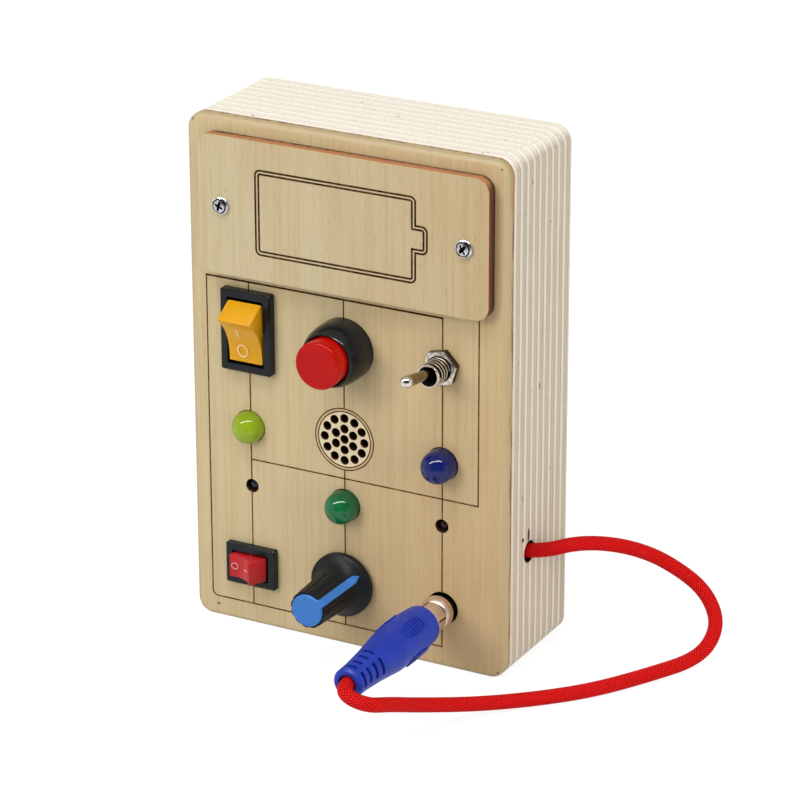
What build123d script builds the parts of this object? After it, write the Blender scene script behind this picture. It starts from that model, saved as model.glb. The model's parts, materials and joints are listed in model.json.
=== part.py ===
"""Wooden busy board: a small plywood box whose front sheet carries switches, lamps,
a knob, a speaker grille, a battery hatch and a plug on a short cord.

Row frame: millimetres, +Z up, front face towards -Y, origin at the centre of the underside.
Most pieces are modelled on a spot frame on the front face: local x to the right, local y up,
local z ("height") out of the face, so 0 is the face and -SHEET_T is the back of the sheet.
"""
from build123d import *
import math
import os

os.makedirs("parts", exist_ok=True)

# ------------------------------------------------------------------ box
BOX_W = 84.0            # across
BLOCK_D = 30.0          # plywood block
SHEET_T = 3.0           # laser-cut front sheet
CORNER_R = 4.0          # upright corners
FRONT_ROUND = 1.2       # eased front rim
BACK_ROUND = 1.0        # eased back rim
SIDE_WALL = 5.0         # wall left around the pocket
BACK_WALL = 4.5
POCKET_R = 3.0

# ------------------------------------------------------------------ fits
RUN = 0.06              # radial play of pins and shafts
SLIP = 0.10             # radial play of parts dropped into holes
DROP = 0.20             # play per side of a switch body in its cut-out

# ------------------------------------------------------------------ hatch and box height
COVER_W = 76.0
COVER_H = 34.0
COVER_T = 3.0
COVER_R = 3.5
COVER_Z = 107.4         # middle of the hatch above the foot
TOP_EDGE = 3.6          # sheet left above the hatch
BOX_H = COVER_Z + COVER_H / 2 + TOP_EDGE

# ------------------------------------------------------------------ places on the face (x, z)
ROCKER_AT = (-25.9, 76.3)
MINI_AT = (-25.9, 15.8)
BUTTON_AT = (-0.3, 76.2)
TOGGLE_AT = (25.5, 76.5)
LIME_AT = (-26.3, 51.7)
BLUE_AT = (25.5, 52.25)
GREEN_AT = (-0.5, 36.5)
DOT_LEFT_AT = (-25.9, 36.4)
DOT_RIGHT_AT = (25.4, 36.4)
GRILLE_AT = (-0.5, 53.3)
KNOB_AT = (-0.75, 16.4)
PHONO_AT = (25.6, 15.4)
COVER_AT = (0.7, COVER_Z)

# ------------------------------------------------------------------ battery bay (two AAA cells)
SCREW_SPAN = 63.8       # between the two cover screws
SCREW_R = 1.0
SCREW_LEN = 6.3         # under the head
SCREW_HEAD_R = 2.1
SCREW_HEAD_H = 1.4
CELL_R = 5.25
CELL_LEN = 44.5         # nub included
NUB_R = 1.9
NUB_H = 0.8
CELL_PITCH = 10.9       # between the two cells
CELL_TOP = -4.6         # height of the cells' front
SPRING_LEN = 4.5
SPRING_R0 = 3.6
SPRING_R1 = 2.2
PLATE_T = 0.5
PLATE_W = 8.4
BAY_GAP = 0.2           # round the cells
BAY_WALL = 1.2
BAY_R = 1.0

# ------------------------------------------------------------------ large rocker switch
ROCKER_BEZEL_W = 13.6
ROCKER_BEZEL_L = 20.4
ROCKER_BEZEL_T = 2.2
ROCKER_BEZEL_R = 0.6
ROCKER_SLOT_W = 9.9
ROCKER_SLOT_L = 16.6
ROCKER_SLOT_D = 7.4     # from the bezel's face to the slot's floor
ROCKER_BODY_W = 12.2
ROCKER_BODY_L = 18.6
ROCKER_BODY_D = 14.5
ROCKER_PADDLE_W = 8.9
ROCKER_RIDGE = (7.08, 3.64)   # each ridge from the pivot: along, out
ROCKER_DISH = 2.3       # middle of the hollow face above the pivot
ROCKER_SIDE = (7.5, -1.7)
ROCKER_KEEL = (4.8, -3.7)
ROCKER_TILT = 20.0
ROCKER_PIVOT = 1.0      # behind the bezel's face
ROCKER_PIN_R = 0.6
ROCKER_PIN_LEN = 1.0    # into each wall
ROCKER_LUG = (4.8, 0.8, 5.0)
ROCKER_LUG_AT = 5.0

# ------------------------------------------------------------------ small rocker switch
MINI_BEZEL_W = 10.4
MINI_BEZEL_L = 13.6
MINI_BEZEL_T = 1.8
MINI_BEZEL_R = 0.5
MINI_SLOT_W = 6.9
MINI_SLOT_L = 10.0
MINI_SLOT_D = 5.2
MINI_BODY_W = 8.6
MINI_BODY_L = 12.0
MINI_BODY_D = 10.0
MINI_PADDLE_W = 6.1
MINI_RIDGE = (3.9, 3.4)
MINI_DISH = 2.5
MINI_SIDE = (4.35, -1.1)
MINI_KEEL = (2.9, -2.5)
MINI_TILT = 23.0
MINI_PIVOT = 0.8
MINI_PIN_R = 0.45
MINI_PIN_LEN = 0.8
MINI_LUG = (3.2, 0.6, 4.0)
MINI_LUG_AT = 3.2

# ------------------------------------------------------------------ push-button
BUTTON_RIM_R = 7.7      # foot of the domed rim
BUTTON_RIM_H = 3.4      # straight part of the rim
BUTTON_LIP_R = 6.55
BUTTON_LIP_H = 8.9
BUTTON_CAP_R = 5.8
BUTTON_CAP_H = 13.2     # front of the cap at rest
BUTTON_CAP_LEN = 8.5
BUTTON_CAP_GAP = 0.32
BUTTON_EDGE = 0.6
BUTTON_TRAVEL = 2.8
BUTTON_BARREL_R = 5.9
BUTTON_BARREL_END = -16.0
BUTTON_STEM_R = 2.0
BUTTON_STEM_END = -8.0
BUTTON_NUT_AF = 14.0
BUTTON_NUT_T = 2.0

# ------------------------------------------------------------------ toggle switch
TOGGLE_NUT_AF = 8.1
TOGGLE_NUT_T = 2.0
TOGGLE_NUT_TURN = 13.0
TOGGLE_BUSH_R = 2.85
TOGGLE_BUSH_H = 7.3
TOGGLE_PIVOT = 3.2
TOGGLE_BALL_R = 1.7
TOGGLE_TILT = 9.0
TOGGLE_NECK_R = 1.15
TOGGLE_TIP_R = 1.45
TOGGLE_REACH = 16.0     # pivot to tip
TOGGLE_MOUTH_R = 2.35
TOGGLE_FOOT_R = 2.3
TOGGLE_TAIL_R = 0.8
TOGGLE_TAIL = 4.6
TOGGLE_PIN_R = 0.6
TOGGLE_PIN_HALF = 2.55
TOGGLE_BODY = (7.9, 13.0, 9.5)
TOGGLE_LUG = (2.0, 0.8, 4.0)
TOGGLE_LUG_PITCH = 4.7

# ------------------------------------------------------------------ lamps
LED_R = 4.0
LED_HOLE = 0.15         # radial play of a lamp in its hole
LED_FLANGE_R = 4.6
LED_FLANGE_T = 1.2
LED_LEN = 5.5           # dome centre to flange
LIME_DOME = 0.7         # height of each dome's centre
BLUE_DOME = 2.5
GREEN_DOME = 1.9
DOT_R = 1.5
DOT_HOLE = 0.25
DOT_TIP = -0.6
DOT_LEN = 5.0
DOT_FLANGE_R = 1.95
DOT_FLANGE_T = 0.8

# ------------------------------------------------------------------ speaker
GRILLE_HOLE_R = 1.12
GRILLE_PITCH = 2.66     # ring to ring
SPEAKER_R = 10.0
SPEAKER_RIM = 1.2
SPEAKER_DEPTH = 4.4
SPEAKER_THROAT_R = 5.0
SPEAKER_SHELL = 0.6
CONE_T = 0.3
MAGNET_R = 5.6
MAGNET_T = 2.6

# ------------------------------------------------------------------ knob and potentiometer
KNOB_FLANGE_R = 8.0
KNOB_BASE = 0.8         # gap under the flange
KNOB_FLANGE_T = 1.8
KNOB_WAIST_R = 5.1
KNOB_WAIST_H = 7.5
KNOB_TOP_R = 4.6
KNOB_TOP_H = 17.8
KNOB_SKIRT_R = 6.3      # hollow underneath
KNOB_SKIRT_D = 2.9
KNOB_SKIRT_RIM = 1.45   # straight part of the hollow's wall
KNOB_SKIRT_TOP_R = 4.3
KNOB_DISC_R = 4.0
KNOB_DISC_T = 1.2
KNOB_DISC_EASE = 1.2    # round where the disc runs into the rib
KNOB_CAP_EDGE = 0.2
KNOB_RIB_W = 1.9
KNOB_RIB_PROUD = 0.7
KNOB_RIB_SINK = 0.8
KNOB_RIB_REACH = 7.0    # axis to the rib's point
KNOB_FLUTES = 12        # pitch of the finger flutes; the rib takes the place of one
KNOB_FLUTE_R = 1.0
KNOB_FLUTE_D = 0.22
KNOB_POINT = 35.0       # pointer above the horizontal at rest
POT_R = 8.0
POT_T = 8.0
POT_BUSH_R = 3.5
POT_BUSH_H = 3.2
POT_NUT_AF = 10.0
POT_NUT_T = 2.0
POT_SHAFT_R = 3.0
POT_SHAFT_TOP = 14.5
POT_SHAFT_END = -9.0

# ------------------------------------------------------------------ phono socket and plug
PHONO_HOLE_R = 4.1
SOCKET_W = 12.0
SOCKET_T = 10.0
SOCKET_BORE_D = 5.0
BARREL_R = 3.0
BARREL_TOP = 2.8
PIN_R = 1.55
PIN_END = -7.4
COLLAR_R = 3.85
COLLAR_BORE_R = 3.2
COLLAR_END = 1.5
COLLAR_TOP = 12.8
COLLAR_EDGE = 0.25
COLLAR_GROOVE_R = 3.45
COLLAR_GROOVE_W = 0.4
COLLAR_GROOVE_AT = 5.15
COLLAR_SLOT_W = 0.6
COLLAR_SLOT_END = 8.8
COLLAR_SLOTS = 4
COLLAR_SLOT_TURN = 10.0
PLUG_TRAVEL = 12.0
PLUG_FRONT = 10.4
PLUG_PROFILE = [(4.55, 10.4), (4.95, 10.9), (5.3, 15.0), (5.4, 21.0), (5.2, 27.5), (4.3, 35.0),
                (3.8, 41.5), (3.7, 45.7), (3.1, 46.3)]
RELIEF_SLOTS = [36.5, 39.1, 41.7, 44.2]
RELIEF_SLOT_W = 1.0
RELIEF_DEPTH = 1.0
RELIEF_ROWS = [(18.0, 58.0), (87.0, 40.0), (198.0, 58.0), (267.0, 40.0)]  # middle, arc
GRIP_PADS = [53.0, 143.0, 233.0, 323.0]
GRIP_RIBS = 8
GRIP_PITCH = 1.05
GRIP_MIDDLE = 20.4
GRIP_RIB_W = 0.5
GRIP_PROUD = 0.3
GRIP_ARC = 42.0
TAIL_BORE_R = 2.3

# ------------------------------------------------------------------ cord
CORD_R = 1.75
CORD_HOLE_R = 2.6
CORD_HOLE_DEPTH = 12.6  # behind the front face
CORD_HOLE_Z = 28.5
KNOT_R = 3.5
CORD_POINTS = [  # x, distance behind the front face, z
    (36.9, 12.6, 28.5), (43.4, 12.6, 28.5), (53.3, 19.43, 30.96), (63.39, 30.96, 26.31),
    (73.06, 37.42, 18.47), (78.15, 38.25, 12.65), (80.73, 35.79, 7.02), (79.09, 29.02, 2.05),
    (71.75, 15.3, 1.78), (63.9, 1.97, 1.84), (54.06, -8.3, 1.78), (44.02, -18.72, 2.65),
    (36.99, -33.41, 7.23), (34.6, -42.8, 11.1), (32.73, -49.83, 13.7), (28.92, -51.22, 14.9),
    (25.6, -48.9, 15.4), (25.6, -44.9, 15.4)]
CORD_END = -CORD_POINTS[-1][1]

FRONT = -(BLOCK_D + SHEET_T) / 2
BACK_H = -(SHEET_T + BLOCK_D)
BAY_L = CELL_LEN + SPRING_LEN + 2 * PLATE_T
BAY_H = CELL_PITCH + 2 * CELL_R + 2 * BAY_GAP
BAY_FLOOR = CELL_TOP - 2 * CELL_R - BAY_GAP


# ------------------------------------------------------------------ helpers
def spot(at):
    """Frame on the front face at (x, z)."""
    return Plane(origin=(at[0], FRONT, at[1]), x_dir=(1, 0, 0), z_dir=(0, -1, 0))


def slab(w, l, h0, h1, corner=0.0, x=0.0, y=0.0):
    """Block w by l, from height h0 to h1, with rounded upright corners."""
    outline = RectangleRounded(w, l, corner) if corner > 0 else Rectangle(w, l)
    return Pos(x, y, h0) * extrude(outline, h1 - h0)


def disc(r, h0, h1, x=0.0, y=0.0):
    """Round bar from height h0 to h1."""
    return Pos(x, y, (h0 + h1) / 2) * Cylinder(r, h1 - h0)


def bar_x(r, half, h=0.0, y=0.0):
    """Round bar along local x, centred, at height h."""
    return Pos(0, y, h) * Rot(Y=90) * Cylinder(r, 2 * half)


def turned(*points):
    """Solid turned about local z from (radius, height) points."""
    return revolve(Plane.XZ * make_face(Polyline(*points, close=True)), Axis.Z)


def domed(r, h0, side, crown):
    """Round head: a straight side and a shallow crown."""
    ball = (r * r + crown * crown) / (2 * crown)
    top = h0 + side + crown
    return disc(r, h0, top) & (Pos(0, 0, top - ball) * Sphere(ball))


def hexnut(af, h0, t, bore, turn=0.0):
    blank = Pos(0, 0, h0) * extrude(RegularPolygon(af / 2, 6, major_radius=False, rotation=turn), t)
    rim = turned((0, h0 - 1), (af / 2 + 0.25, h0 - 1), (af / 2 + 0.25, h0 + t * 0.8),
                 (af / 2 - 0.15, h0 + t), (0, h0 + t))
    return (blank & rim) - disc(bore, h0 - 1, h0 + t + 1)


def save(shape, node):
    shape.label = node
    export_step(shape, "parts/" + node + ".step")


# ------------------------------------------------------------------ box
def housing():
    face = spot((0, BOX_H / 2))
    block = slab(BOX_W, BOX_H, BACK_H, -SHEET_T, CORNER_R)
    block = fillet(block.edges().group_by(Axis.Z)[0], BACK_ROUND)
    block -= slab(BOX_W - 2 * SIDE_WALL, BOX_H - 2 * SIDE_WALL, BACK_H + BACK_WALL, 0, POCKET_R)
    hole = Pos(BOX_W / 2 - SIDE_WALL / 2, CORD_HOLE_Z - BOX_H / 2, -CORD_HOLE_DEPTH) \
        * Rot(Y=90) * Cylinder(CORD_HOLE_R, SIDE_WALL + 2)
    return face * (block - hole)


def grille_holes():
    """Hole centres: one, six and twelve, on rings a pitch apart."""
    spots = [(0.0, 0.0)]
    for ring, count, start in ((1, 6, 30.0), (2, 12, 0.0)):
        for k in range(count):
            a = math.radians(start + 360.0 * k / count)
            spots.append((ring * GRILLE_PITCH * math.cos(a), ring * GRILLE_PITCH * math.sin(a)))
    return spots


def cover_screws():
    return [(COVER_AT[0] + s * SCREW_SPAN / 2, COVER_AT[1]) for s in (-1, 1)]


def front_panel():
    sheet = slab(BOX_W, BOX_H, -SHEET_T, 0, CORNER_R)
    sheet = fillet(sheet.edges().group_by(Axis.Z)[-1], FRONT_ROUND)
    sheet = spot((0, BOX_H / 2)) * sheet
    lo, hi = -SHEET_T - 1, 1

    def round_hole(at, r):
        return spot(at) * disc(r, lo, hi)

    cuts = [
        spot(ROCKER_AT) * slab(ROCKER_BODY_W + 2 * DROP, ROCKER_BODY_L + 2 * DROP, lo, hi),
        spot(MINI_AT) * slab(MINI_BODY_L + 2 * DROP, MINI_BODY_W + 2 * DROP, lo, hi),
        round_hole(BUTTON_AT, BUTTON_BARREL_R + SLIP),
        round_hole(TOGGLE_AT, TOGGLE_BUSH_R + SLIP),
        round_hole(KNOB_AT, POT_BUSH_R + SLIP),
        round_hole(PHONO_AT, PHONO_HOLE_R),
        spot(COVER_AT) * slab(BAY_L, BAY_H, lo, hi, BAY_R),
    ]
    cuts += [round_hole(at, LED_R + LED_HOLE) for at in (LIME_AT, BLUE_AT, GREEN_AT)]
    cuts += [round_hole(at, DOT_R + DOT_HOLE) for at in (DOT_LEFT_AT, DOT_RIGHT_AT)]
    cuts += [round_hole(at, SCREW_R + RUN) for at in cover_screws()]
    cuts += [spot(GRILLE_AT) * disc(GRILLE_HOLE_R, lo, hi, x, y) for x, y in grille_holes()]
    for cut in cuts:
        sheet -= cut
    return sheet


# ------------------------------------------------------------------ battery bay
def battery_cover():
    plate = slab(COVER_W, COVER_H, 0, COVER_T, COVER_R)
    for s in (-1, 1):
        plate -= disc(SCREW_R + RUN, -1, COVER_T + 1, s * SCREW_SPAN / 2)
    return spot(COVER_AT) * plate


def cover_screw(at):
    h = COVER_T
    crown = SCREW_HEAD_H * 0.45
    shank = turned((0, h - SCREW_LEN), (SCREW_R, h - SCREW_LEN + SCREW_R), (SCREW_R, h + 0.1),
                   (0, h + 0.1))
    return spot(at) * (shank + domed(SCREW_HEAD_R, h, SCREW_HEAD_H - crown, crown))


def battery_tray():
    tray = slab(BAY_L + 2 * BAY_WALL, BAY_H + 2 * BAY_WALL, BAY_FLOOR - BAY_WALL, -SHEET_T,
                BAY_R + BAY_WALL)
    tray -= slab(BAY_L, BAY_H, BAY_FLOOR, 0, BAY_R)
    return spot(COVER_AT) * tray


def cell_frame(row):
    """Frame on a cell's axis: local x from its flat end to its nub; row 1 is the upper cell."""
    turn = 0 if row > 0 else 180
    return spot(COVER_AT) * Location((0, row * CELL_PITCH / 2, CELL_TOP - CELL_R)) * Rot(Z=turn)


def battery_cell(row):
    start = -BAY_L / 2 + PLATE_T + SPRING_LEN
    body = CELL_LEN - NUB_H
    can = Pos(start + body / 2, 0, 0) * Rot(Y=90) * Cylinder(CELL_R, body)
    can = chamfer(can.edges(), 0.5)
    nub = Pos(start + body + NUB_H / 2, 0, 0) * Rot(Y=90) * Cylinder(NUB_R, NUB_H)
    return cell_frame(row) * (can + nub)


def battery_spring(row):
    start = -BAY_L / 2 + PLATE_T
    cone = Pos(start + SPRING_LEN / 2, 0, 0) * Rot(Y=90) * Cone(SPRING_R0, SPRING_R1, SPRING_LEN)
    return cell_frame(row) * cone


def contact_plate(side, y, l):
    """Sprung contact plate standing at one end of the bay."""
    x = side * (BAY_L - PLATE_T) / 2
    depth = 2 * CELL_R - 1.6
    plate = Pos(x, y, CELL_TOP - CELL_R) * Box(PLATE_T, l, depth)
    return spot(COVER_AT) * plate


# ------------------------------------------------------------------ rocker switches
def rocker_frame(bezel, slot, body, bezel_t, bezel_r, slot_d, pivot, pin_r, pin_len):
    """Bezel and body in one moulding; long way along local y, pivot holes along local x."""
    rim = slab(bezel[0], bezel[1], 0, bezel_t, bezel_r)
    rim = chamfer(rim.edges().group_by(Axis.Z)[-1], 0.35)
    frame = rim + slab(body[0], body[1], -body[2], 0)
    frame -= slab(slot[0], slot[1], bezel_t - slot_d, bezel_t + 1, 0.3)
    frame -= bar_x(pin_r + RUN, slot[0] / 2 + pin_len + 0.15, bezel_t - pivot)
    return frame


def rocker_paddle(width, ridge, dish, side, keel, tilt, height, pin_r, pin_half):
    """Hollow-faced rocker, its local +y end standing out at rest."""
    (ru, rw), (su, sw), (ku, kw) = ridge, side, keel
    outline = Plane.YZ * make_face([
        ThreePointArc((-ru, rw), (0, dish), (ru, rw)), Line((ru, rw), (su, sw)),
        Line((su, sw), (ku, kw)), Line((ku, kw), (-ku, kw)), Line((-ku, kw), (-su, sw)),
        Line((-su, sw), (-ru, rw))])
    paddle = extrude(outline, width / 2, both=True) + bar_x(pin_r, pin_half)
    return Pos(0, 0, height) * Rot(X=tilt) * paddle


def large_rocker():
    frame = rocker_frame((ROCKER_BEZEL_W, ROCKER_BEZEL_L), (ROCKER_SLOT_W, ROCKER_SLOT_L),
                         (ROCKER_BODY_W, ROCKER_BODY_L, ROCKER_BODY_D), ROCKER_BEZEL_T,
                         ROCKER_BEZEL_R, ROCKER_SLOT_D, ROCKER_PIVOT, ROCKER_PIN_R, ROCKER_PIN_LEN)
    paddle = rocker_paddle(ROCKER_PADDLE_W, ROCKER_RIDGE, ROCKER_DISH, ROCKER_SIDE, ROCKER_KEEL,
                           ROCKER_TILT, ROCKER_BEZEL_T - ROCKER_PIVOT, ROCKER_PIN_R,
                           ROCKER_SLOT_W / 2 + ROCKER_PIN_LEN)
    return spot(ROCKER_AT) * frame, spot(ROCKER_AT) * paddle


def mini_rocker():
    lay = spot(MINI_AT) * Rot(Z=-90)
    frame = rocker_frame((MINI_BEZEL_W, MINI_BEZEL_L), (MINI_SLOT_W, MINI_SLOT_L),
                         (MINI_BODY_W, MINI_BODY_L, MINI_BODY_D), MINI_BEZEL_T, MINI_BEZEL_R,
                         MINI_SLOT_D, MINI_PIVOT, MINI_PIN_R, MINI_PIN_LEN)
    paddle = rocker_paddle(MINI_PADDLE_W, MINI_RIDGE, MINI_DISH, MINI_SIDE, MINI_KEEL,
                           MINI_TILT, MINI_BEZEL_T - MINI_PIVOT, MINI_PIN_R,
                           MINI_SLOT_W / 2 + MINI_PIN_LEN)
    return lay * frame, lay * paddle


def lug(size, top, x=0.0, y=0.0):
    """Flat solder lug hanging from height top, its tip narrowed."""
    w, t, l = size
    outline = Plane.XZ * make_face(Polyline((-w / 2, top), (w / 2, top), (w / 2, top - l * 0.75),
                                            (w / 4, top - l), (-w / 4, top - l),
                                            (-w / 2, top - l * 0.75), close=True))
    return Pos(x, y, 0) * extrude(outline, t / 2, both=True)


# ------------------------------------------------------------------ push-button
def button_barrel():
    bore = BUTTON_CAP_R + BUTTON_CAP_GAP
    floor = BUTTON_CAP_H - BUTTON_CAP_LEN - BUTTON_TRAVEL - 0.5
    stem_floor = BUTTON_STEM_END - BUTTON_TRAVEL - 0.5
    profile = Plane.XZ * make_face([
        Line((0, BUTTON_BARREL_END), (BUTTON_BARREL_R, BUTTON_BARREL_END)),
        Line((BUTTON_BARREL_R, BUTTON_BARREL_END), (BUTTON_BARREL_R, 0)),
        Line((BUTTON_BARREL_R, 0), (BUTTON_RIM_R, 0)),
        Line((BUTTON_RIM_R, 0), (BUTTON_RIM_R, BUTTON_RIM_H)),
        ThreePointArc((BUTTON_RIM_R, BUTTON_RIM_H),
                      (BUTTON_RIM_R - 0.27 * (BUTTON_RIM_R - BUTTON_LIP_R),
                       BUTTON_RIM_H + 0.55 * (BUTTON_LIP_H - BUTTON_RIM_H)),
                      (BUTTON_LIP_R, BUTTON_LIP_H)),
        Line((BUTTON_LIP_R, BUTTON_LIP_H), (bore, BUTTON_LIP_H)),
        Line((bore, BUTTON_LIP_H), (bore, floor)),
        Line((bore, floor), (BUTTON_STEM_R + RUN, floor)),
        Line((BUTTON_STEM_R + RUN, floor), (BUTTON_STEM_R + RUN, stem_floor)),
        Line((BUTTON_STEM_R + RUN, stem_floor), (0, stem_floor)),
        Line((0, stem_floor), (0, BUTTON_BARREL_END))])
    return spot(BUTTON_AT) * revolve(profile, Axis.Z)


def button_cap():
    foot = BUTTON_CAP_H - BUTTON_CAP_LEN
    cap = disc(BUTTON_CAP_R, foot, BUTTON_CAP_H)
    cap = fillet(cap.edges().group_by(Axis.Z)[-1], BUTTON_EDGE)
    return spot(BUTTON_AT) * (cap + disc(BUTTON_STEM_R, BUTTON_STEM_END, foot))


def button_nut():
    return spot(BUTTON_AT) * hexnut(BUTTON_NUT_AF, -SHEET_T - BUTTON_NUT_T, BUTTON_NUT_T,
                                    BUTTON_BARREL_R)


# ------------------------------------------------------------------ toggle switch
def toggle_bushing():
    top, pivot = TOGGLE_BUSH_H, TOGGLE_PIVOT
    seat = TOGGLE_BALL_R + RUN
    throat = pivot + TOGGLE_BALL_R * 0.8
    knee = pivot - TOGGLE_BALL_R * 0.5
    bush = turned((TOGGLE_BUSH_R, -SHEET_T), (TOGGLE_BUSH_R, top - 0.3), (TOGGLE_BUSH_R - 0.3, top),
                  (TOGGLE_MOUTH_R, top), (seat, throat), (seat, knee), (TOGGLE_FOOT_R, knee - 0.6),
                  (TOGGLE_FOOT_R, -SHEET_T))
    return spot(TOGGLE_AT) * (bush - bar_x(TOGGLE_PIN_R + RUN, TOGGLE_PIN_HALF + 0.1, pivot))


def toggle_lever():
    reach, tip = TOGGLE_REACH, TOGGLE_TIP_R
    arm = Plane.XZ * make_face([
        Line((0, 0), (TOGGLE_NECK_R, 0)), Line((TOGGLE_NECK_R, 0), (TOGGLE_NECK_R, 4.2)),
        Line((TOGGLE_NECK_R, 4.2), (tip, reach - tip)),
        ThreePointArc((tip, reach - tip), (tip * math.sin(math.radians(45)),
                      reach - tip + tip * math.cos(math.radians(45))), (0, reach)),
        Line((0, reach), (0, 0))])
    lever = revolve(arm, Axis.Z) + Sphere(TOGGLE_BALL_R) + disc(TOGGLE_TAIL_R, -TOGGLE_TAIL, 0)
    lever += bar_x(TOGGLE_PIN_R, TOGGLE_PIN_HALF)
    return spot(TOGGLE_AT) * Location((0, 0, TOGGLE_PIVOT)) * Rot(X=-TOGGLE_TILT) * lever


def toggle_body():
    w, l, d = TOGGLE_BODY
    return spot(TOGGLE_AT) * slab(w, l, -SHEET_T - d, -SHEET_T, 0.5)


def toggle_nut():
    return spot(TOGGLE_AT) * hexnut(TOGGLE_NUT_AF, 0, TOGGLE_NUT_T, TOGGLE_BUSH_R, TOGGLE_NUT_TURN)


# ------------------------------------------------------------------ lamps and speaker
def led(at, dome):
    foot = dome - LED_LEN
    profile = Plane.XZ * make_face([
        Line((0, dome + LED_R), (0, foot - LED_FLANGE_T)),
        Line((0, foot - LED_FLANGE_T), (LED_FLANGE_R, foot - LED_FLANGE_T)),
        Line((LED_FLANGE_R, foot - LED_FLANGE_T), (LED_FLANGE_R, foot)),
        Line((LED_FLANGE_R, foot), (LED_R, foot)), Line((LED_R, foot), (LED_R, dome)),
        ThreePointArc((LED_R, dome), (LED_R * math.sqrt(0.5), dome + LED_R * math.sqrt(0.5)),
                      (0, dome + LED_R))])
    return spot(at) * revolve(profile, Axis.Z)


def small_led(at):
    foot = DOT_TIP - DOT_LEN
    dome = DOT_TIP - DOT_R
    lamp = disc(DOT_R, foot, dome) + Pos(0, 0, dome) * Sphere(DOT_R)
    return spot(at) * (lamp + disc(DOT_FLANGE_R, foot, foot + DOT_FLANGE_T))


def speaker():
    top = -SHEET_T
    rim, throat = top - SPEAKER_RIM, top - SPEAKER_DEPTH
    inner = SPEAKER_R - 0.8
    frame = turned((inner, top), (SPEAKER_R, top), (SPEAKER_R, rim),
                   (SPEAKER_THROAT_R + SPEAKER_SHELL, throat), (0, throat),
                   (0, throat + SPEAKER_SHELL), (SPEAKER_THROAT_R, throat + SPEAKER_SHELL),
                   (inner, rim))
    seat = throat + SPEAKER_SHELL
    cone = turned((inner, rim), (inner, rim + CONE_T), (SPEAKER_THROAT_R, seat + 2 * CONE_T),
                  (2.2, seat + 3 * CONE_T), (0, seat + 4 * CONE_T), (0, seat),
                  (SPEAKER_THROAT_R, seat))
    magnet = disc(MAGNET_R, throat - MAGNET_T, throat)
    return [spot(GRILLE_AT) * piece for piece in (frame, cone, magnet)]


# ------------------------------------------------------------------ knob
def knob_profile(grow=0.0):
    """Side line of the knob from the flange up, moved out by grow."""
    g = grow
    foot = KNOB_BASE + KNOB_FLANGE_T
    flare = (KNOB_WAIST_R + 0.75, foot + 0.36 * (KNOB_WAIST_H - foot))
    return [Line((KNOB_FLANGE_R + g, KNOB_BASE), (KNOB_FLANGE_R + g, foot - 0.5)),
            Line((KNOB_FLANGE_R + g, foot - 0.5), (KNOB_FLANGE_R - 0.5 + g, foot + g)),
            ThreePointArc((KNOB_FLANGE_R - 0.5 + g, foot + g), (flare[0] + g, flare[1] + g),
                          (KNOB_WAIST_R + g, KNOB_WAIST_H)),
            Line((KNOB_WAIST_R + g, KNOB_WAIST_H), (KNOB_TOP_R + g, KNOB_TOP_H + g))]


def knob_solid(grow=0.0):
    side = knob_profile(grow)
    ends = [Line((0, KNOB_BASE), (KNOB_FLANGE_R + grow, KNOB_BASE)),
            Line((KNOB_TOP_R + grow, KNOB_TOP_H + grow), (0, KNOB_TOP_H + grow)),
            Line((0, KNOB_TOP_H + grow), (0, KNOB_BASE))]
    return revolve(Plane.XZ * make_face(side + ends), Axis.Z)


def knob_pieces():
    """Knob body, and the coloured cap with its pointer rib, which lie in each other's cuts."""
    foot = KNOB_BASE + KNOB_FLANGE_T
    seat = KNOB_TOP_H - KNOB_DISC_T
    half = KNOB_RIB_W / 2
    arrow = make_face(Polyline((0, -half), (KNOB_RIB_REACH - half, -half), (KNOB_RIB_REACH, 0),
                               (KNOB_RIB_REACH - half, half), (0, half), close=True))
    blade = Pos(0, 0, foot) * extrude(arrow, KNOB_TOP_H - foot + 2)
    grown = knob_solid(KNOB_RIB_PROUD)
    rib = (grown - knob_solid(-KNOB_RIB_SINK)) & blade
    rib -= disc(KNOB_DISC_R, foot, KNOB_TOP_H + 5)
    plan = Circle(KNOB_DISC_R) + arrow
    plan = fillet([v for v in plan.vertices() if 0 < v.X < KNOB_DISC_R], KNOB_DISC_EASE)
    plate = Pos(0, 0, seat) * extrude(plan, KNOB_DISC_T + KNOB_RIB_PROUD)
    cap = rib + (plate & grown)
    cap = chamfer(cap.edges().group_by(Axis.Z)[-1], KNOB_CAP_EDGE)
    body = knob_solid() - turned((0, 0), (KNOB_SKIRT_R, 0), (KNOB_SKIRT_R, KNOB_BASE + KNOB_SKIRT_RIM),
                                 (KNOB_SKIRT_TOP_R, KNOB_BASE + KNOB_SKIRT_D),
                                 (0, KNOB_BASE + KNOB_SKIRT_D))
    body -= disc(POT_SHAFT_R, 0, POT_SHAFT_TOP)
    lean = math.degrees(math.atan2(KNOB_WAIST_R - KNOB_TOP_R, KNOB_TOP_H - KNOB_WAIST_H))
    flute = disc(KNOB_FLUTE_R, 0, KNOB_TOP_H) + Sphere(KNOB_FLUTE_R)
    flute = Pos(KNOB_WAIST_R + KNOB_FLUTE_R - KNOB_FLUTE_D, 0, KNOB_WAIST_H) * Rot(Y=-lean) * flute
    for k in range(1, KNOB_FLUTES):
        body -= Rot(Z=360.0 / KNOB_FLUTES * k) * flute
    body -= cap
    face = spot(KNOB_AT) * Rot(Z=KNOB_POINT)
    return face * body, face * cap


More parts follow.
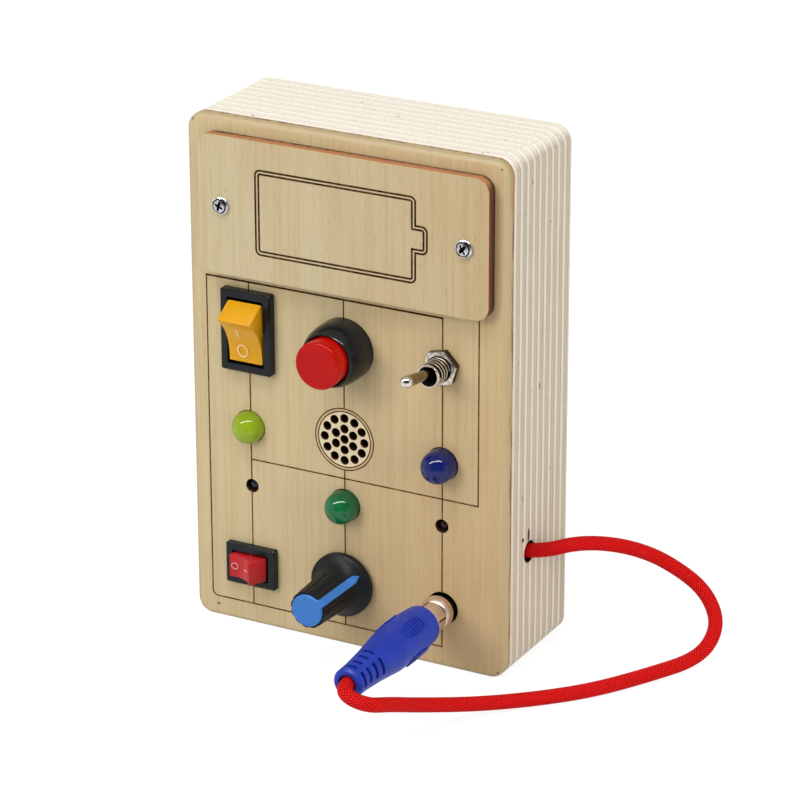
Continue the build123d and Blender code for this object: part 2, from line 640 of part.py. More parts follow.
def potentiometer():
    body = disc(POT_R, -SHEET_T - POT_T, -SHEET_T)
    body -= disc(POT_SHAFT_R + RUN, POT_SHAFT_END - 0.4, 0)
    bush = disc(POT_BUSH_R, -SHEET_T, POT_BUSH_H) - disc(POT_SHAFT_R + RUN, -SHEET_T - 1, 9)
    nut = hexnut(POT_NUT_AF, 0, POT_NUT_T, POT_BUSH_R)
    shaft = disc(POT_SHAFT_R, POT_SHAFT_END, POT_SHAFT_TOP)
    return [spot(KNOB_AT) * piece for piece in (body, bush, nut, shaft)]


# ------------------------------------------------------------------ phono socket and plug
def socket_body():
    block = slab(SOCKET_W, SOCKET_W, -SHEET_T - SOCKET_T, -SHEET_T, 0.8)
    return spot(PHONO_AT) * (block - disc(PHONO_HOLE_R + 0.1, -SHEET_T - SOCKET_BORE_D, 0))


def socket_barrel():
    foot = -SHEET_T - SOCKET_BORE_D
    bore = PIN_R + 0.35
    sleeve = disc(BARREL_R, foot, BARREL_TOP) - disc(bore, foot + 0.4, BARREL_TOP + 1)
    return spot(PHONO_AT) * sleeve


def plug_collar():
    """Sleeve with a ring before its groove and slots behind it."""
    r, edge, half = COLLAR_R, COLLAR_EDGE, COLLAR_GROOVE_W / 2
    lo, hi = COLLAR_GROOVE_AT - half, COLLAR_GROOVE_AT + half
    sleeve = turned((COLLAR_BORE_R, COLLAR_END), (r - edge, COLLAR_END), (r, COLLAR_END + edge),
                    (r, lo - edge), (r - edge, lo), (COLLAR_GROOVE_R, lo), (COLLAR_GROOVE_R, hi),
                    (r - edge, hi), (r, hi + edge), (r, COLLAR_TOP), (COLLAR_BORE_R, COLLAR_TOP))
    length = COLLAR_SLOT_END - hi - edge
    slot = Pos(r, 0, COLLAR_SLOT_END - length / 2) * Box(2 * r, COLLAR_SLOT_W, length)
    for k in range(COLLAR_SLOTS):
        sleeve -= Rot(Z=COLLAR_SLOT_TURN + 360.0 / COLLAR_SLOTS * k) * slot
    return spot(PHONO_AT) * sleeve


def plug_pin():
    rod = disc(PIN_R, PIN_END, COLLAR_TOP + 1)
    rod = fillet(rod.edges().group_by(Axis.Z)[0], PIN_R * 0.8)
    return spot(PHONO_AT) * rod


def plug_radius(h):
    for (r0, h0), (r1, h1) in zip(PLUG_PROFILE, PLUG_PROFILE[1:]):
        if h0 <= h <= h1:
            return r0 + (r1 - r0) * (h - h0) / (h1 - h0)
    return PLUG_PROFILE[-1][0]


def plug_arc(h, inner, outer, width, middle, arc):
    """Piece of a ring round the plug, at height h, from one angle to another."""
    ring = disc(outer, h - width / 2, h + width / 2) - disc(inner, h - width, h + width)
    reach = outer * 1.5
    corners = [(reach * math.cos(math.radians(middle + a)), reach * math.sin(math.radians(middle + a)))
               for a in (-arc / 2, 0, arc / 2)]
    wedge = extrude(make_face(Polyline((0, 0), *corners, close=True)), 2 * width)
    return ring & (Pos(0, 0, h - width) * wedge)


def plug_body():
    line = [(0, PLUG_FRONT)] + PLUG_PROFILE + [(0, PLUG_PROFILE[-1][1])]
    body = turned(*line)
    for middle in GRIP_PADS:
        for k in range(GRIP_RIBS):
            off = k - (GRIP_RIBS - 1) / 2
            h = GRIP_MIDDLE + off * GRIP_PITCH
            arc = GRIP_ARC * math.sqrt(1 - (off / (GRIP_RIBS * 0.58)) ** 2)
            r = plug_radius(h)
            body += plug_arc(h, r - 0.5, r + GRIP_PROUD, GRIP_RIB_W, middle, arc)
    for h in RELIEF_SLOTS:
        r = plug_radius(h)
        for middle, arc in RELIEF_ROWS:
            body -= plug_arc(h, r - RELIEF_DEPTH, r + 2, RELIEF_SLOT_W, middle, arc)
    body -= disc(COLLAR_R, PLUG_FRONT - 1, COLLAR_TOP)
    body -= disc(PIN_R, PLUG_FRONT - 1, COLLAR_TOP + 1)
    body -= disc(TAIL_BORE_R, CORD_END, PLUG_PROFILE[-1][1] + 1)
    return spot(PHONO_AT) * body


# ------------------------------------------------------------------ cord
def cord():
    points = [Vector(x, FRONT + back, z) for x, back, z in CORD_POINTS]
    radii = []
    for a, b, c in zip(points, points[1:], points[2:]):
        turn = math.radians((b - a).get_angle(c - b))
        radii.append(0.45 * min((b - a).length, (c - b).length) / math.tan(turn / 2))
    print("cord radii", [round(r, 1) for r in radii])
    path = FilletPolyline(*points, radius=radii)
    tube = sweep(Plane(origin=path @ 0, z_dir=path % 0) * Circle(CORD_R), path=path)
    ideal = math.pi * CORD_R ** 2 * path.length
    print("cord length %.1f, volume %.1f of %.1f" % (path.length, tube.volume, ideal))
    return tube


def cord_knot():
    x, back, z = CORD_POINTS[0]
    sink = math.sqrt(KNOT_R ** 2 - (CORD_R + 0.15) ** 2)
    ball = Pos(x - sink, 0, 0) * Sphere(KNOT_R)
    ball &= Pos(x - KNOT_R, 0, 0) * Box(2 * KNOT_R, 3 * KNOT_R, 3 * KNOT_R)
    return Pos(0, FRONT + back, z) * ball


# ------------------------------------------------------------------ export
save(housing(), "housing")
save(front_panel(), "front_panel")
save(battery_cover(), "battery_cover")
for side, at in zip(("left", "right"), cover_screws()):
    save(cover_screw(at), "cover_screw_" + side)
save(battery_tray(), "battery_tray")
for name, row in (("upper", 1), ("lower", -1)):
    save(battery_cell(row), "battery_cell_" + name)
    save(battery_spring(row), "battery_spring_" + name)
    save(contact_plate(1, row * CELL_PITCH / 2, PLATE_W), "battery_contact_" + name)
save(contact_plate(-1, 0, CELL_PITCH + PLATE_W), "battery_link_plate")

big_frame, big_paddle = large_rocker()
save(big_frame, "rocker_large_frame")
save(big_paddle, "rocker_large_paddle")
small_frame, small_paddle = mini_rocker()
save(small_frame, "rocker_small_frame")
save(small_paddle, "rocker_small_paddle")
for name, s in (("upper", 1), ("lower", -1)):
    save(spot(ROCKER_AT) * lug(ROCKER_LUG, -ROCKER_BODY_D, 0, s * ROCKER_LUG_AT),
         "rocker_large_lug_" + name)
for name, s in (("left", -1), ("right", 1)):
    save(spot(MINI_AT) * Rot(Z=-90) * lug(MINI_LUG, -MINI_BODY_D, 0, s * MINI_LUG_AT),
         "rocker_small_lug_" + name)

save(button_barrel(), "button_barrel")
save(button_nut(), "button_nut")
save(button_cap(), "button_cap")

save(toggle_body(), "toggle_body")
save(toggle_bushing(), "toggle_bushing")
save(toggle_nut(), "toggle_nut")
save(toggle_lever(), "toggle_lever")
for name, s in (("upper", 1), ("middle", 0), ("lower", -1)):
    save(spot(TOGGLE_AT) * lug(TOGGLE_LUG, -SHEET_T - TOGGLE_BODY[2], 0, s * TOGGLE_LUG_PITCH),
         "toggle_lug_" + name)

save(led(LIME_AT, LIME_DOME), "led_lime")
save(led(BLUE_AT, BLUE_DOME), "led_blue")
save(led(GREEN_AT, GREEN_DOME), "led_green")
save(small_led(DOT_LEFT_AT), "led_small_left")
save(small_led(DOT_RIGHT_AT), "led_small_right")
for node, piece in zip(("speaker_frame", "speaker_cone", "speaker_magnet"), speaker()):
    save(piece, node)

for node, piece in zip(("pot_body", "pot_bushing", "pot_nut", "pot_shaft"), potentiometer()):
    save(piece, node)
for node, piece in zip(("knob_body", "knob_cap"), knob_pieces()):
    save(piece, node)

save(socket_body(), "socket_body")
save(socket_barrel(), "socket_barrel")
save(plug_collar(), "plug_collar")
save(plug_pin(), "plug_pin")
save(plug_body(), "plug_body")
save(cord(), "cord")
save(cord_knot(), "cord_knot")
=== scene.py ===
"""Looks of the wooden busy board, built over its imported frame. Metres, +Z up, face towards -Y."""
import json
import math
from contextlib import contextmanager
from functools import partial

import bmesh
import bpy
from mathutils import Matrix, Vector


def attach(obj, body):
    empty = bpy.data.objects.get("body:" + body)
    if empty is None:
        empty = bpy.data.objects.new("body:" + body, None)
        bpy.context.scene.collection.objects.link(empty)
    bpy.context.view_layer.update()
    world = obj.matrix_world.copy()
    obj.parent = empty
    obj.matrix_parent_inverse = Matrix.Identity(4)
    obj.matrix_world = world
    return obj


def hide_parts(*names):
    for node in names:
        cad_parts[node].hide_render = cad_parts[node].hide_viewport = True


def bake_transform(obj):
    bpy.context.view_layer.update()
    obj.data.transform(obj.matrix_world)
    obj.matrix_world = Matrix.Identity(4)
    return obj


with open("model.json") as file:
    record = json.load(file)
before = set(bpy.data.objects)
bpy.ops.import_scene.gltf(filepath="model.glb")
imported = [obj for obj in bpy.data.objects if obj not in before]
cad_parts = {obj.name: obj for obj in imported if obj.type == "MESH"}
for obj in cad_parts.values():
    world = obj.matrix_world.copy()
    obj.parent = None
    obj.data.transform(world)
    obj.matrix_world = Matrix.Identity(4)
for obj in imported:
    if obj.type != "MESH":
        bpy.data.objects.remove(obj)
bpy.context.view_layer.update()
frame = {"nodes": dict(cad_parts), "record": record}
nodes = frame["nodes"]

# sizes, in mm unless a line says otherwise
MM = 0.001
FACE_Y = -16.5          # front face of the sheet
SHEET = 3.0             # thickness of the face sheet and of the hatch
HALF_W, HALF_H = 42, 64
RIM = 1.5               # how far in from the outline the sheet's edge is sanded
PLY_PAIR = 3.15         # a pale ply and a tan one, with their glue lines
LINE = 0.34             # width of the lines engraved in the panel
HATCH_LINE = 0.46       # width of the lines engraved in the hatch, and of the panel's top line
BURN = 0.3              # thickness of the pieces that stand for engraved lines
PROUD = 0.04            # how far those pieces stand out, so that they show
CORD_R = 1.75
WELD = 1e-6             # loose triangles merge within this, in metres
FACING = (math.pi / 2, 0, 0)      # turns a piece made about z to stand out of the face

# places on the face: x and z
LARGE_ROCKER = (-25.9, 76.3)
SMALL_ROCKER = (-25.9, 15.8)
BUTTON = (-0.3, 76.2)
TOGGLE = (25.5, 76.5)
GRILLE = (-0.5, 53.3)
PLUG = (25.6, 15.4)
HATCH = (0.7, 107.4)


def spot(x, out, z):
    """Point out mm in front of the face, in metres."""
    return Vector((x, FACE_Y - out, z)) * MM


def link(name, data):
    """New object in the scene."""
    piece = bpy.data.objects.new(name, data)
    bpy.context.scene.collection.objects.link(piece)
    return piece


# ------------------------------------------------------------------ nodes
def colour(code):
    """sRGB hex code to a linear RGBA colour."""
    parts = [int(code[i:i + 2], 16) / 255 for i in (1, 3, 5)]
    return (*(c / 12.92 if c <= 0.04045 else ((c + 0.055) / 1.055) ** 2.4 for c in parts), 1.0)


def add_node(tree, kind, inputs=(), stops=None, **settings):
    """Adds a node with its settings. Inputs are listed in the sockets' order or named; each is a
    value, a hex colour, a socket, or a node, which gives the first of its outputs in use."""
    step = tree.nodes.new("ShaderNode" + kind)
    for name, value in settings.items():
        setattr(step, name, value)
    if stops:
        bands = step.color_ramp.elements
        bands.remove(bands[1])
        bands[0].position = stops[0][0]
        bands[0].color = colour(stops[0][1])
        for place, code in stops[1:]:
            bands.new(place).color = colour(code)
    for name, value in inputs.items() if isinstance(inputs, dict) else enumerate(inputs):
        if isinstance(value, bpy.types.Node):
            value = next(out for out in value.outputs if out.enabled)
        if isinstance(value, bpy.types.NodeSocket):
            tree.links.new(value, step.inputs[name])
        elif isinstance(value, str):
            step.inputs[name].default_value = colour(value)
        else:
            step.inputs[name].default_value = value
    return step


def material(draw):
    """Makes a function that draws a shader into one that makes the named material with it. Its
    add is add_node for that material's tree."""
    def make(name, *args, **settings):
        mat = bpy.data.materials.new(name)
        mat.use_nodes = True
        mat.node_tree.nodes.clear()
        add = partial(add_node, mat.node_tree)
        add("OutputMaterial", {"Surface": draw(add, *args, **settings)})
        return mat
    return make


def reach(add, where, centre, scale=(1, 1, 1)):
    """How far a point is from a centre, with each axis stretched by its own scale."""
    off = add("VectorMath", [where, centre], operation="SUBTRACT")
    off = add("VectorMath", [off, scale], operation="MULTIPLY")
    return add("VectorMath", [off], operation="LENGTH")


def blots(add, where, size, detail=3.0, rough=0.5):
    """Noise whose blots are size mm along x, y and z."""
    drawn = add("Mapping", {"Vector": where, "Scale": [1000 / mm for mm in size]})
    return add("TexNoise", {"Vector": drawn, "Scale": 1.0, "Detail": detail, "Roughness": rough})


# ------------------------------------------------------------------ camera, floor, lights
def set_camera():
    view = bpy.data.cameras.new("view")
    view.lens = 170.6
    view.sensor_width = 36.0
    view.clip_end = 20
    right = Vector((0.88020, 0.47459, -0.00169))
    down = Vector((0.17507, -0.32800, -0.92831))
    ahead = Vector((-0.44113, 0.81681, -0.37180))
    turn = Matrix((right, -down, -ahead)).transposed().to_4x4()
    holder = link("view", view)
    holder.matrix_world = Matrix.Translation((0.40246, -0.73514, 0.39321)) @ turn
    bpy.context.scene.camera = holder
    bpy.context.scene.view_settings.view_transform = "Standard"


@material
def pale_floor(add):
    """Paper sweep, white to the eye near and far; in gloss it is white by the board and dims
    into the room."""
    rays = add("LightPath").outputs
    where = add("TexCoord").outputs["Object"]
    away = add("VectorMath", [where], operation="LENGTH")
    fade = add("MapRange", {"Value": away, "From Min": 0.15, "From Max": 0.60,
                            "To Min": 0.85, "To Max": 0.40}, interpolation_type="SMOOTHSTEP")
    lift = add("MapRange", {"Value": away, "From Min": 0.3, "From Max": 1.6,
                            "To Min": 0.87, "To Max": 1.0})
    gloss = add("Math", [rays["Is Glossy Ray"], fade], operation="MULTIPLY")
    straight = add("Math", [rays["Is Camera Ray"], rays["Is Transmission Ray"]],
                   operation="MAXIMUM")
    level = add("Math", [straight, gloss], operation="MAXIMUM")
    strength = add("Math", [level, lift], operation="MULTIPLY")
    seen = add("Math", [straight, rays["Is Glossy Ray"]], operation="MAXIMUM")
    paper = add("BsdfDiffuse", {"Color": "#E2E2E2"})
    dim = add("BsdfDiffuse", {"Color": "#7C7C7C"})
    glow = add("Emission", {"Color": "#FFFFFF", "Strength": strength})
    shown = add("AddShader", [dim, glow])
    return add("MixShader", [seen, paper, shown])


def studio_world():
    """White to the eye, and round the horizon in glass and metal; a dim ceiling and a dim
    patch where the room is, in front of the board."""
    ambient = 0.33
    to_room = (0.44, -0.82, 0.37)
    world = bpy.data.worlds.new("studio")
    bpy.context.scene.world = world
    world.use_nodes = True
    world.node_tree.nodes.clear()
    add = partial(add_node, world.node_tree)
    rays = add("LightPath").outputs
    seen = add("Math", [rays["Is Camera Ray"], rays["Is Transmission Ray"]], operation="MAXIMUM")
    way = add("TexCoord").outputs["Generated"]
    room = add("VectorMath", [way, to_room], operation="DOT_PRODUCT")
    patch = add("MapRange", {"Value": room, "From Min": 0.35, "From Max": 0.85,
                             "To Min": 1.0, "To Max": 0.06}, interpolation_type="SMOOTHSTEP")
    rise = add("SeparateXYZ", [way]).outputs["Z"]
    ceiling = add("MapRange", {"Value": rise, "From Min": 0.10, "From Max": 0.55,
                               "To Min": 1.0, "To Max": 0.45}, interpolation_type="SMOOTHSTEP")
    around = add("Math", [patch, ceiling], operation="MULTIPLY")
    mirrored = add("Mix", {0: rays["Is Glossy Ray"], 2: ambient, 3: around}, data_type="FLOAT")
    level = add("Mix", {0: seen, 2: mirrored, 3: 1.0}, data_type="FLOAT")
    back = add("Background", {"Color": "#FFFFFF", "Strength": level})
    add("OutputWorld", {"Surface": back})


def set_stage():
    bpy.ops.mesh.primitive_plane_add(size=6, location=(0, 0, 0))
    floor = bpy.context.active_object
    floor.name = "floor"
    floor.data.materials.append(pale_floor("pale_paper_sweep"))
    studio_world()


def softbox(name, place, size, power, along=(1, 0, 0), lights=True, mirrored=False):
    """Area lamp facing the board, its long side turned along a direction."""
    board = Vector((0, 0, 0.06))
    lamp = bpy.data.lights.new(name, "AREA")
    lamp.shape = "RECTANGLE"
    lamp.size, lamp.size_y = size
    lamp.energy = power
    back = (Vector(place) - board).normalized()
    wide = (Vector(along) - back * back.dot(Vector(along))).normalized()
    turn = Matrix((wide, back.cross(wide), back)).transposed().to_4x4()
    holder = link(name, lamp)
    holder.matrix_world = Matrix.Translation(place) @ turn
    holder.visible_diffuse = lights
    holder.visible_glossy = mirrored


set_camera()
set_stage()
softbox("key", (-0.45, -0.95, 0.60), (0.5, 0.5), 5.65)
softbox("side", (1.05, -0.10, 0.35), (0.5, 0.6), 5.95)
softbox("top", (-0.07, -0.42, 0.95), (0.9, 0.3), 4.8)
softbox("rear", (-0.50, 1.10, 0.35), (0.7, 0.5), 6.5)
# a long tube that only shows in gloss: the arcs on the lamps and the lines on the edges
softbox("tube", (0.03, -0.455, 0.865), (1.65, 0.09), 14.0, (1.18, 0.57, 0.23), lights=False,
        mirrored=True)


# ------------------------------------------------------------------ wood
def veneer(add, where, pale, warm):
    """Rotary-cut birch face: tone drifts across it, with fine upright grain and short pores.
    Gives its colour and its relief."""
    axis = add("SeparateXYZ", [where]).outputs
    drift = blots(add, where, (26, 26, 70), 1.0, 0.6)
    across = add("MapRange", {"Value": axis["X"], "From Min": -45 * MM, "From Max": 45 * MM,
                              "To Min": -0.25, "To Max": 0.25})
    lean = add("Math", [drift, across], operation="ADD")
    tone = add("MapRange", {"Value": lean, "From Min": 0.25, "From Max": 0.80},
               interpolation_type="SMOOTHSTEP")
    ground = add("Mix", {0: tone, 6: pale, 7: warm}, data_type="RGBA")
    streaks = blots(add, where, (0.9, 0.9, 34), 3.0, 0.6)
    lines = add("ValToRGB", [streaks],
                stops=((0.28, "#F4EFE7"), (0.47, "#FBF9F5"), (0.60, "#FFFFFF")))
    grained = add("Mix", {0: 1.0, 6: ground, 7: lines}, data_type="RGBA", blend_type="MULTIPLY")
    pores = blots(add, where, (0.28, 0.28, 3.2), 1.0, 0.6)
    dashes = add("ValToRGB", [pores], stops=((0.66, "#FFFFFF"), (0.78, "#E8DCC8")))
    aged = add("Mix", {0: 1.0, 6: grained, 7: dashes}, data_type="RGBA", blend_type="MULTIPLY")
    return aged, add("Math", [streaks, pores], operation="SUBTRACT")


def wood_skin(add, paint, relief, rough=0.58):
    """Bare wood, lightly sanded: matt, with its grain just raised."""
    bump = add("Bump", {"Height": relief, "Strength": 0.25, "Distance": 0.06 * MM})
    return add("BsdfPrincipled", {"Base Color": paint, "Roughness": rough, "IOR": 1.5,
                                  "Normal": bump})


def depth_behind(add, where, front):
    """0 at a sheet's front face and 1 at its back."""
    axis = add("SeparateXYZ", [where]).outputs
    return add("MapRange", {"Value": axis["Y"], "From Min": front * MM,
                            "From Max": (front + SHEET) * MM})


def sheet_skin(add, depth, face, edge, relief):
    """Veneer in front, and the cut edge from a hair's breadth behind it."""
    cut = add("Math", [depth, 0.012], operation="GREATER_THAN")
    return wood_skin(add, add("Mix", {0: cut, 6: face, 7: edge}, data_type="RGBA"), relief)


def facing_up(add, normal):
    """1 where the surface faces up, and 0 where it is upright."""
    turned = add("SeparateXYZ", [normal]).outputs
    return add("MapRange", {"Value": turned["Z"], "From Min": 0.3, "From Max": 0.8})


def scorched(add, where, depth, stops, across=1.3, along=1.3, swing=0.12):
    """Colour through the sheet's thickness, blotched as a laser leaves it; the blots are across
    mm wide and along mm high, and shift the colour by up to swing of the thickness."""
    blot = blots(add, where, (across, across, along))
    shifted = add("MapRange", {"Value": blot, "From Min": 0.3, "From Max": 0.7,
                               "To Min": -swing, "To Max": swing})
    level = add("Math", [depth, shifted], operation="ADD")
    return add("ValToRGB", [level], stops=stops)


@material
def birch_sheet(add):
    """3 mm birch plywood, laser-cut: pale veneer face, sanded tan rim with a toasted seam
    at the joint, and near-black walls in the holes."""
    where = add("TexCoord").outputs["Object"]
    face, relief = veneer(add, where, "#C6B48B", "#C2A87D")
    # the wood round the grille holes is left a little paler
    ring = reach(add, where, spot(GRILLE[0], 0, GRILLE[1]))
    ring = add("MapRange", {"Value": ring, "From Min": 7.1 * MM, "From Max": 6.7 * MM})
    face = add("Mix", {0: ring, 6: face, 7: "#DCCBA6"}, data_type="RGBA")
    # a small dark flaw in the veneer near the lower left corner
    flaw = reach(add, where, spot(-36.0, 0, 3.2), (1000 / 0.55, 100, 1000 / 0.3))
    flaw = add("MapRange", {"Value": flaw, "From Min": 1.4, "From Max": 0.6})
    face = add("Mix", {0: flaw, 6: face, 7: "#7A5E3A"}, data_type="RGBA")
    # the outer edge is sanded; the edges of the holes are left burnt
    off = add("VectorMath", [where, (0, 0, HALF_H * MM)], operation="SUBTRACT")
    off = add("VectorMath", [off], operation="ABSOLUTE")
    off = add("VectorMath", [off, ((HALF_W - RIM) * MM, 0, (HALF_H - RIM) * MM)],
              operation="SUBTRACT")
    off = add("SeparateXYZ", [off]).outputs
    outer = add("Math", [off["X"], off["Z"]], operation="MAXIMUM")
    outer = add("Math", [outer, 0.0], operation="GREATER_THAN")
    depth = depth_behind(add, where, FACE_Y)
    rim = scorched(add, where, depth, ((0.0, "#B6A279"), (0.62, "#B39D74"), (0.82, "#A68656"),
                                       (0.94, "#92683E"), (1.0, "#704628")), 1.3, 11.0, 0.28)
    hole = scorched(add, where, depth, ((0.0, "#6A4526"), (0.2, "#3A2414"), (1.0, "#1E120A")))
    edge = add("Mix", {0: outer, 6: hole, 7: rim}, data_type="RGBA")
    return sheet_skin(add, depth, face, edge, relief)


@material
def birch_hatch(add):
    """The same sheet cut by laser as a hatch, its edge burnt orange and red-brown; the top edge is
    painted paler and the sides darker, as painted light and shade.
    """
    coords = add("TexCoord").outputs
    where = coords["Object"]
    face, relief = veneer(add, where, "#C0B18D", "#B99F75")
    depth = depth_behind(add, where, FACE_Y - SHEET)
    top = scorched(add, where, depth, ((0.0, "#BC8A58"), (0.15, "#B27A4A"), (0.70, "#A0663A"),
                                       (0.86, "#4A2A16"), (1.0, "#2C180C")))
    sides = scorched(add, where, depth, ((0.0, "#8A5430"), (0.12, "#66341A"), (0.55, "#542612"),
                                         (0.82, "#34180C"), (1.0, "#20100A")), 0.8, 0.8)
    # by which way the edge faces: the paler top is painted light from above, the darker sides
    # painted shade
    up = facing_up(add, coords["Normal"])
    edge = add("Mix", {0: up, 6: sides, 7: top}, data_type="RGBA")
    return sheet_skin(add, depth, face, edge, relief)


@material
def birch_block(add):
    """Thick birch plywood, sanded: pale long-grain plies between tan end-grain ones, thin glue
    lines, small voids, and a veneer face on the back. The top face is painted paler as painted
    light, and the cord hole and two voids near-black as painted shade."""
    coords = add("TexCoord").outputs
    where = coords["Object"]
    axis = add("SeparateXYZ", [where]).outputs
    behind = add("MapRange", {
        "Value": axis["Y"], "From Min": FACE_Y * MM, "From Max": (FACE_Y + 10 * PLY_PAIR) * MM,
        "To Min": 0.0, "To Max": 10.0}, clamp=False)
    wave = blots(add, where, (9, 9, 30), 1.0, 0.6)
    wave = add("MapRange", {"Value": wave, "To Min": -0.78, "To Max": -0.60})
    ply = add("Math", [behind, wave], operation="ADD")
    phase = add("Math", [ply], operation="FRACT")
    side_plies = add("ValToRGB", [phase],
              stops=((0.0, "#C0B4A0"), (0.22, "#B8AB96"), (0.27, "#A3957F"), (0.31, "#D6CCBA"),
                     (0.5, "#DDD4C4"), (0.67, "#D2C7B4"), (0.72, "#AA9D88"), (0.76, "#BDB09B"),
                     (1.0, "#C0B4A0")))
    top_plies_painted_light = add("ValToRGB", [phase],
                 stops=((0.0, "#F0E8D8"), (0.22, "#ECE4D4"), (0.26, "#D2C8B4"), (0.31, "#F6F0E2"),
                        (0.68, "#F6F0E2"), (0.73, "#DED5C2"), (1.0, "#F0E8D8")))
    # the top face's plies are painted paler than the sides': painted light from above
    up = facing_up(add, coords["Normal"])
    paint = add("Mix", {0: up, 6: side_plies, 7: top_plies_painted_light}, data_type="RGBA")
    # end-grain specks, and small open gaps in the plies
    fibre = add("TexNoise", {"Vector": where, "Scale": 1000 / 0.7, "Detail": 4.0})
    long_way = blots(add, where, (0.8, 0.8, 16), 3.0, 0.6)
    mottle = add("Math", [fibre, long_way], operation="ADD")
    mottle = add("Math", [mottle, 0.5], operation="MULTIPLY")
    specks = add("ValToRGB", [mottle], stops=((0.32, "#EAE4DA"), (0.50, "#FFFFFF")))
    gaps = add("ValToRGB", [blots(add, where, (2.5, 1.0, 3.2), 0.0)],
               stops=((0.83, "#FFFFFF"), (0.85, "#A08C74")))
    for marks in (specks, gaps):
        paint = add("Mix", {0: 1.0, 6: paint, 7: marks}, data_type="RGBA", blend_type="MULTIPLY")
    # the cord hole's wall, and a hair's breadth round its mouth, painted near-black as painted
    # shade
    bore = reach(add, where, spot(HALF_W, -12.6, 28.5), (0, 1, 1))
    bore = add("MapRange", {"Value": bore, "From Min": 2.90 * MM, "From Max": 2.66 * MM})
    mouth = add("Math", [axis["X"], (HALF_W - 12) * MM], operation="GREATER_THAN")
    dark = add("Math", [bore, mouth], operation="MULTIPLY")
    # two voids in the plies beside it, painted near-black as painted shade: each one's middle, and
    # half its width and height
    for centre, half in ((spot(HALF_W, -12.25, 32.95), (0.55, 1.65)),
                         (spot(HALF_W, -9.27, 32.6), (0.6, 0.55))):
        void = reach(add, where, centre, (100, 1000 / half[0], 1000 / half[1]))
        void = add("Math", [void, 1.0], operation="LESS_THAN")
        dark = add("Math", [dark, void], operation="MAXIMUM")
    paint = add("Mix", {0: dark, 6: paint, 7: "#2E0E0A"}, data_type="RGBA")
    plain, relief = veneer(add, where, "#D8C8A4", "#CDB68C")
    turned = add("SeparateXYZ", [coords["Normal"]]).outputs
    rear = add("MapRange", {"Value": turned["Y"], "From Min": 0.75, "From Max": 0.9})
    paint = add("Mix", {0: rear, 6: paint, 7: plain}, data_type="RGBA")
    return wood_skin(add, paint, relief, 0.66)


@material
def burnt_line(add, stops):
    """Laser engraving: charred groove with uneven soot."""
    where = add("TexCoord").outputs["Object"]
    soot = add("TexNoise", {"Vector": where, "Scale": 1000 / 1.6, "Detail": 4.0})
    paint = add("ValToRGB", [soot], stops=stops)
    bump = add("Bump", {"Height": soot, "Strength": 0.4, "Distance": 0.05 * MM})
    return add("BsdfPrincipled", {"Base Color": paint, "Roughness": 0.85,
                                  "Specular IOR Level": 0.1, "Normal": bump})


# ------------------------------------------------------------------ plastics, metal, lamps, cord
@material
def moulded(add, code, worn, rough, grit=0.18, bump=0.12, gloss=0.3):
    """Injection-moulded plastic: even colour, a spark-eroded texture with its grit in mm, and
    a slightly paler bloom in patches."""
    where = add("TexCoord").outputs["Object"]
    patch = add("TexNoise", {"Vector": where, "Scale": 1000 / 6.0, "Detail": 3.0})
    paint = add("ValToRGB", [patch], stops=((0.35, code), (0.7, worn)))
    grain = add("TexNoise", {"Vector": where, "Scale": 1000 / grit, "Detail": 2.0})
    skin = add("Bump", {"Height": grain, "Strength": bump, "Distance": 0.03 * MM})
    shine = add("MapRange", {"Value": patch, "To Min": rough - 0.05, "To Max": rough + 0.05})
    return add("BsdfPrincipled", {"Base Color": paint, "Roughness": shine, "IOR": 1.46,
                                  "Specular IOR Level": gloss, "Normal": skin})


@material
def tinted_epoxy(add, deep, bright, tip):
    """Diffused lamp epoxy: glossy dome, painted from deep at its base to bright at height tip, as
    painted light; a haze mottles it.
    """
    where = add("TexCoord").outputs["Object"]
    axis = add("SeparateXYZ", [where]).outputs
    # painted light: the colour grows lighter from the base out to the tip
    body = add("MapRange", {"Value": axis["Y"], "From Min": (FACE_Y - tip) * MM,
                            "From Max": FACE_Y * MM, "To Min": 1.0, "To Max": 0.0})
    haze = add("TexNoise", {"Vector": where, "Scale": 1000 / 2.5, "Detail": 2.0})
    mixed = add("Math", [body, haze], operation="MULTIPLY")
    paint = add("Mix", {0: mixed, 6: deep, 7: bright}, data_type="RGBA")
    return add("BsdfPrincipled", {"Base Color": paint, "Roughness": 0.07, "IOR": 1.5,
                                  "Specular IOR Level": 0.35})


@material
def plated(add, code, rough):
    """Plated metal: bright, with faint turning marks round the part, 0.12 mm apart."""
    where = add("TexCoord").outputs["Object"]
    marks = blots(add, where, (1000 / 60, 0.12, 1000 / 60), 2.0)
    haze = add("TexNoise", {"Vector": where, "Scale": 1000 / 3.0, "Detail": 3.0})
    shine = add("MapRange", {"Value": haze, "To Min": rough - 0.06, "To Max": rough + 0.08})
    skin = add("Bump", {"Height": marks, "Strength": 0.10, "Distance": 0.02 * MM})
    return add("BsdfPrincipled", {"Base Color": code, "Metallic": 1.0, "Roughness": shine,
                                  "Normal": skin})


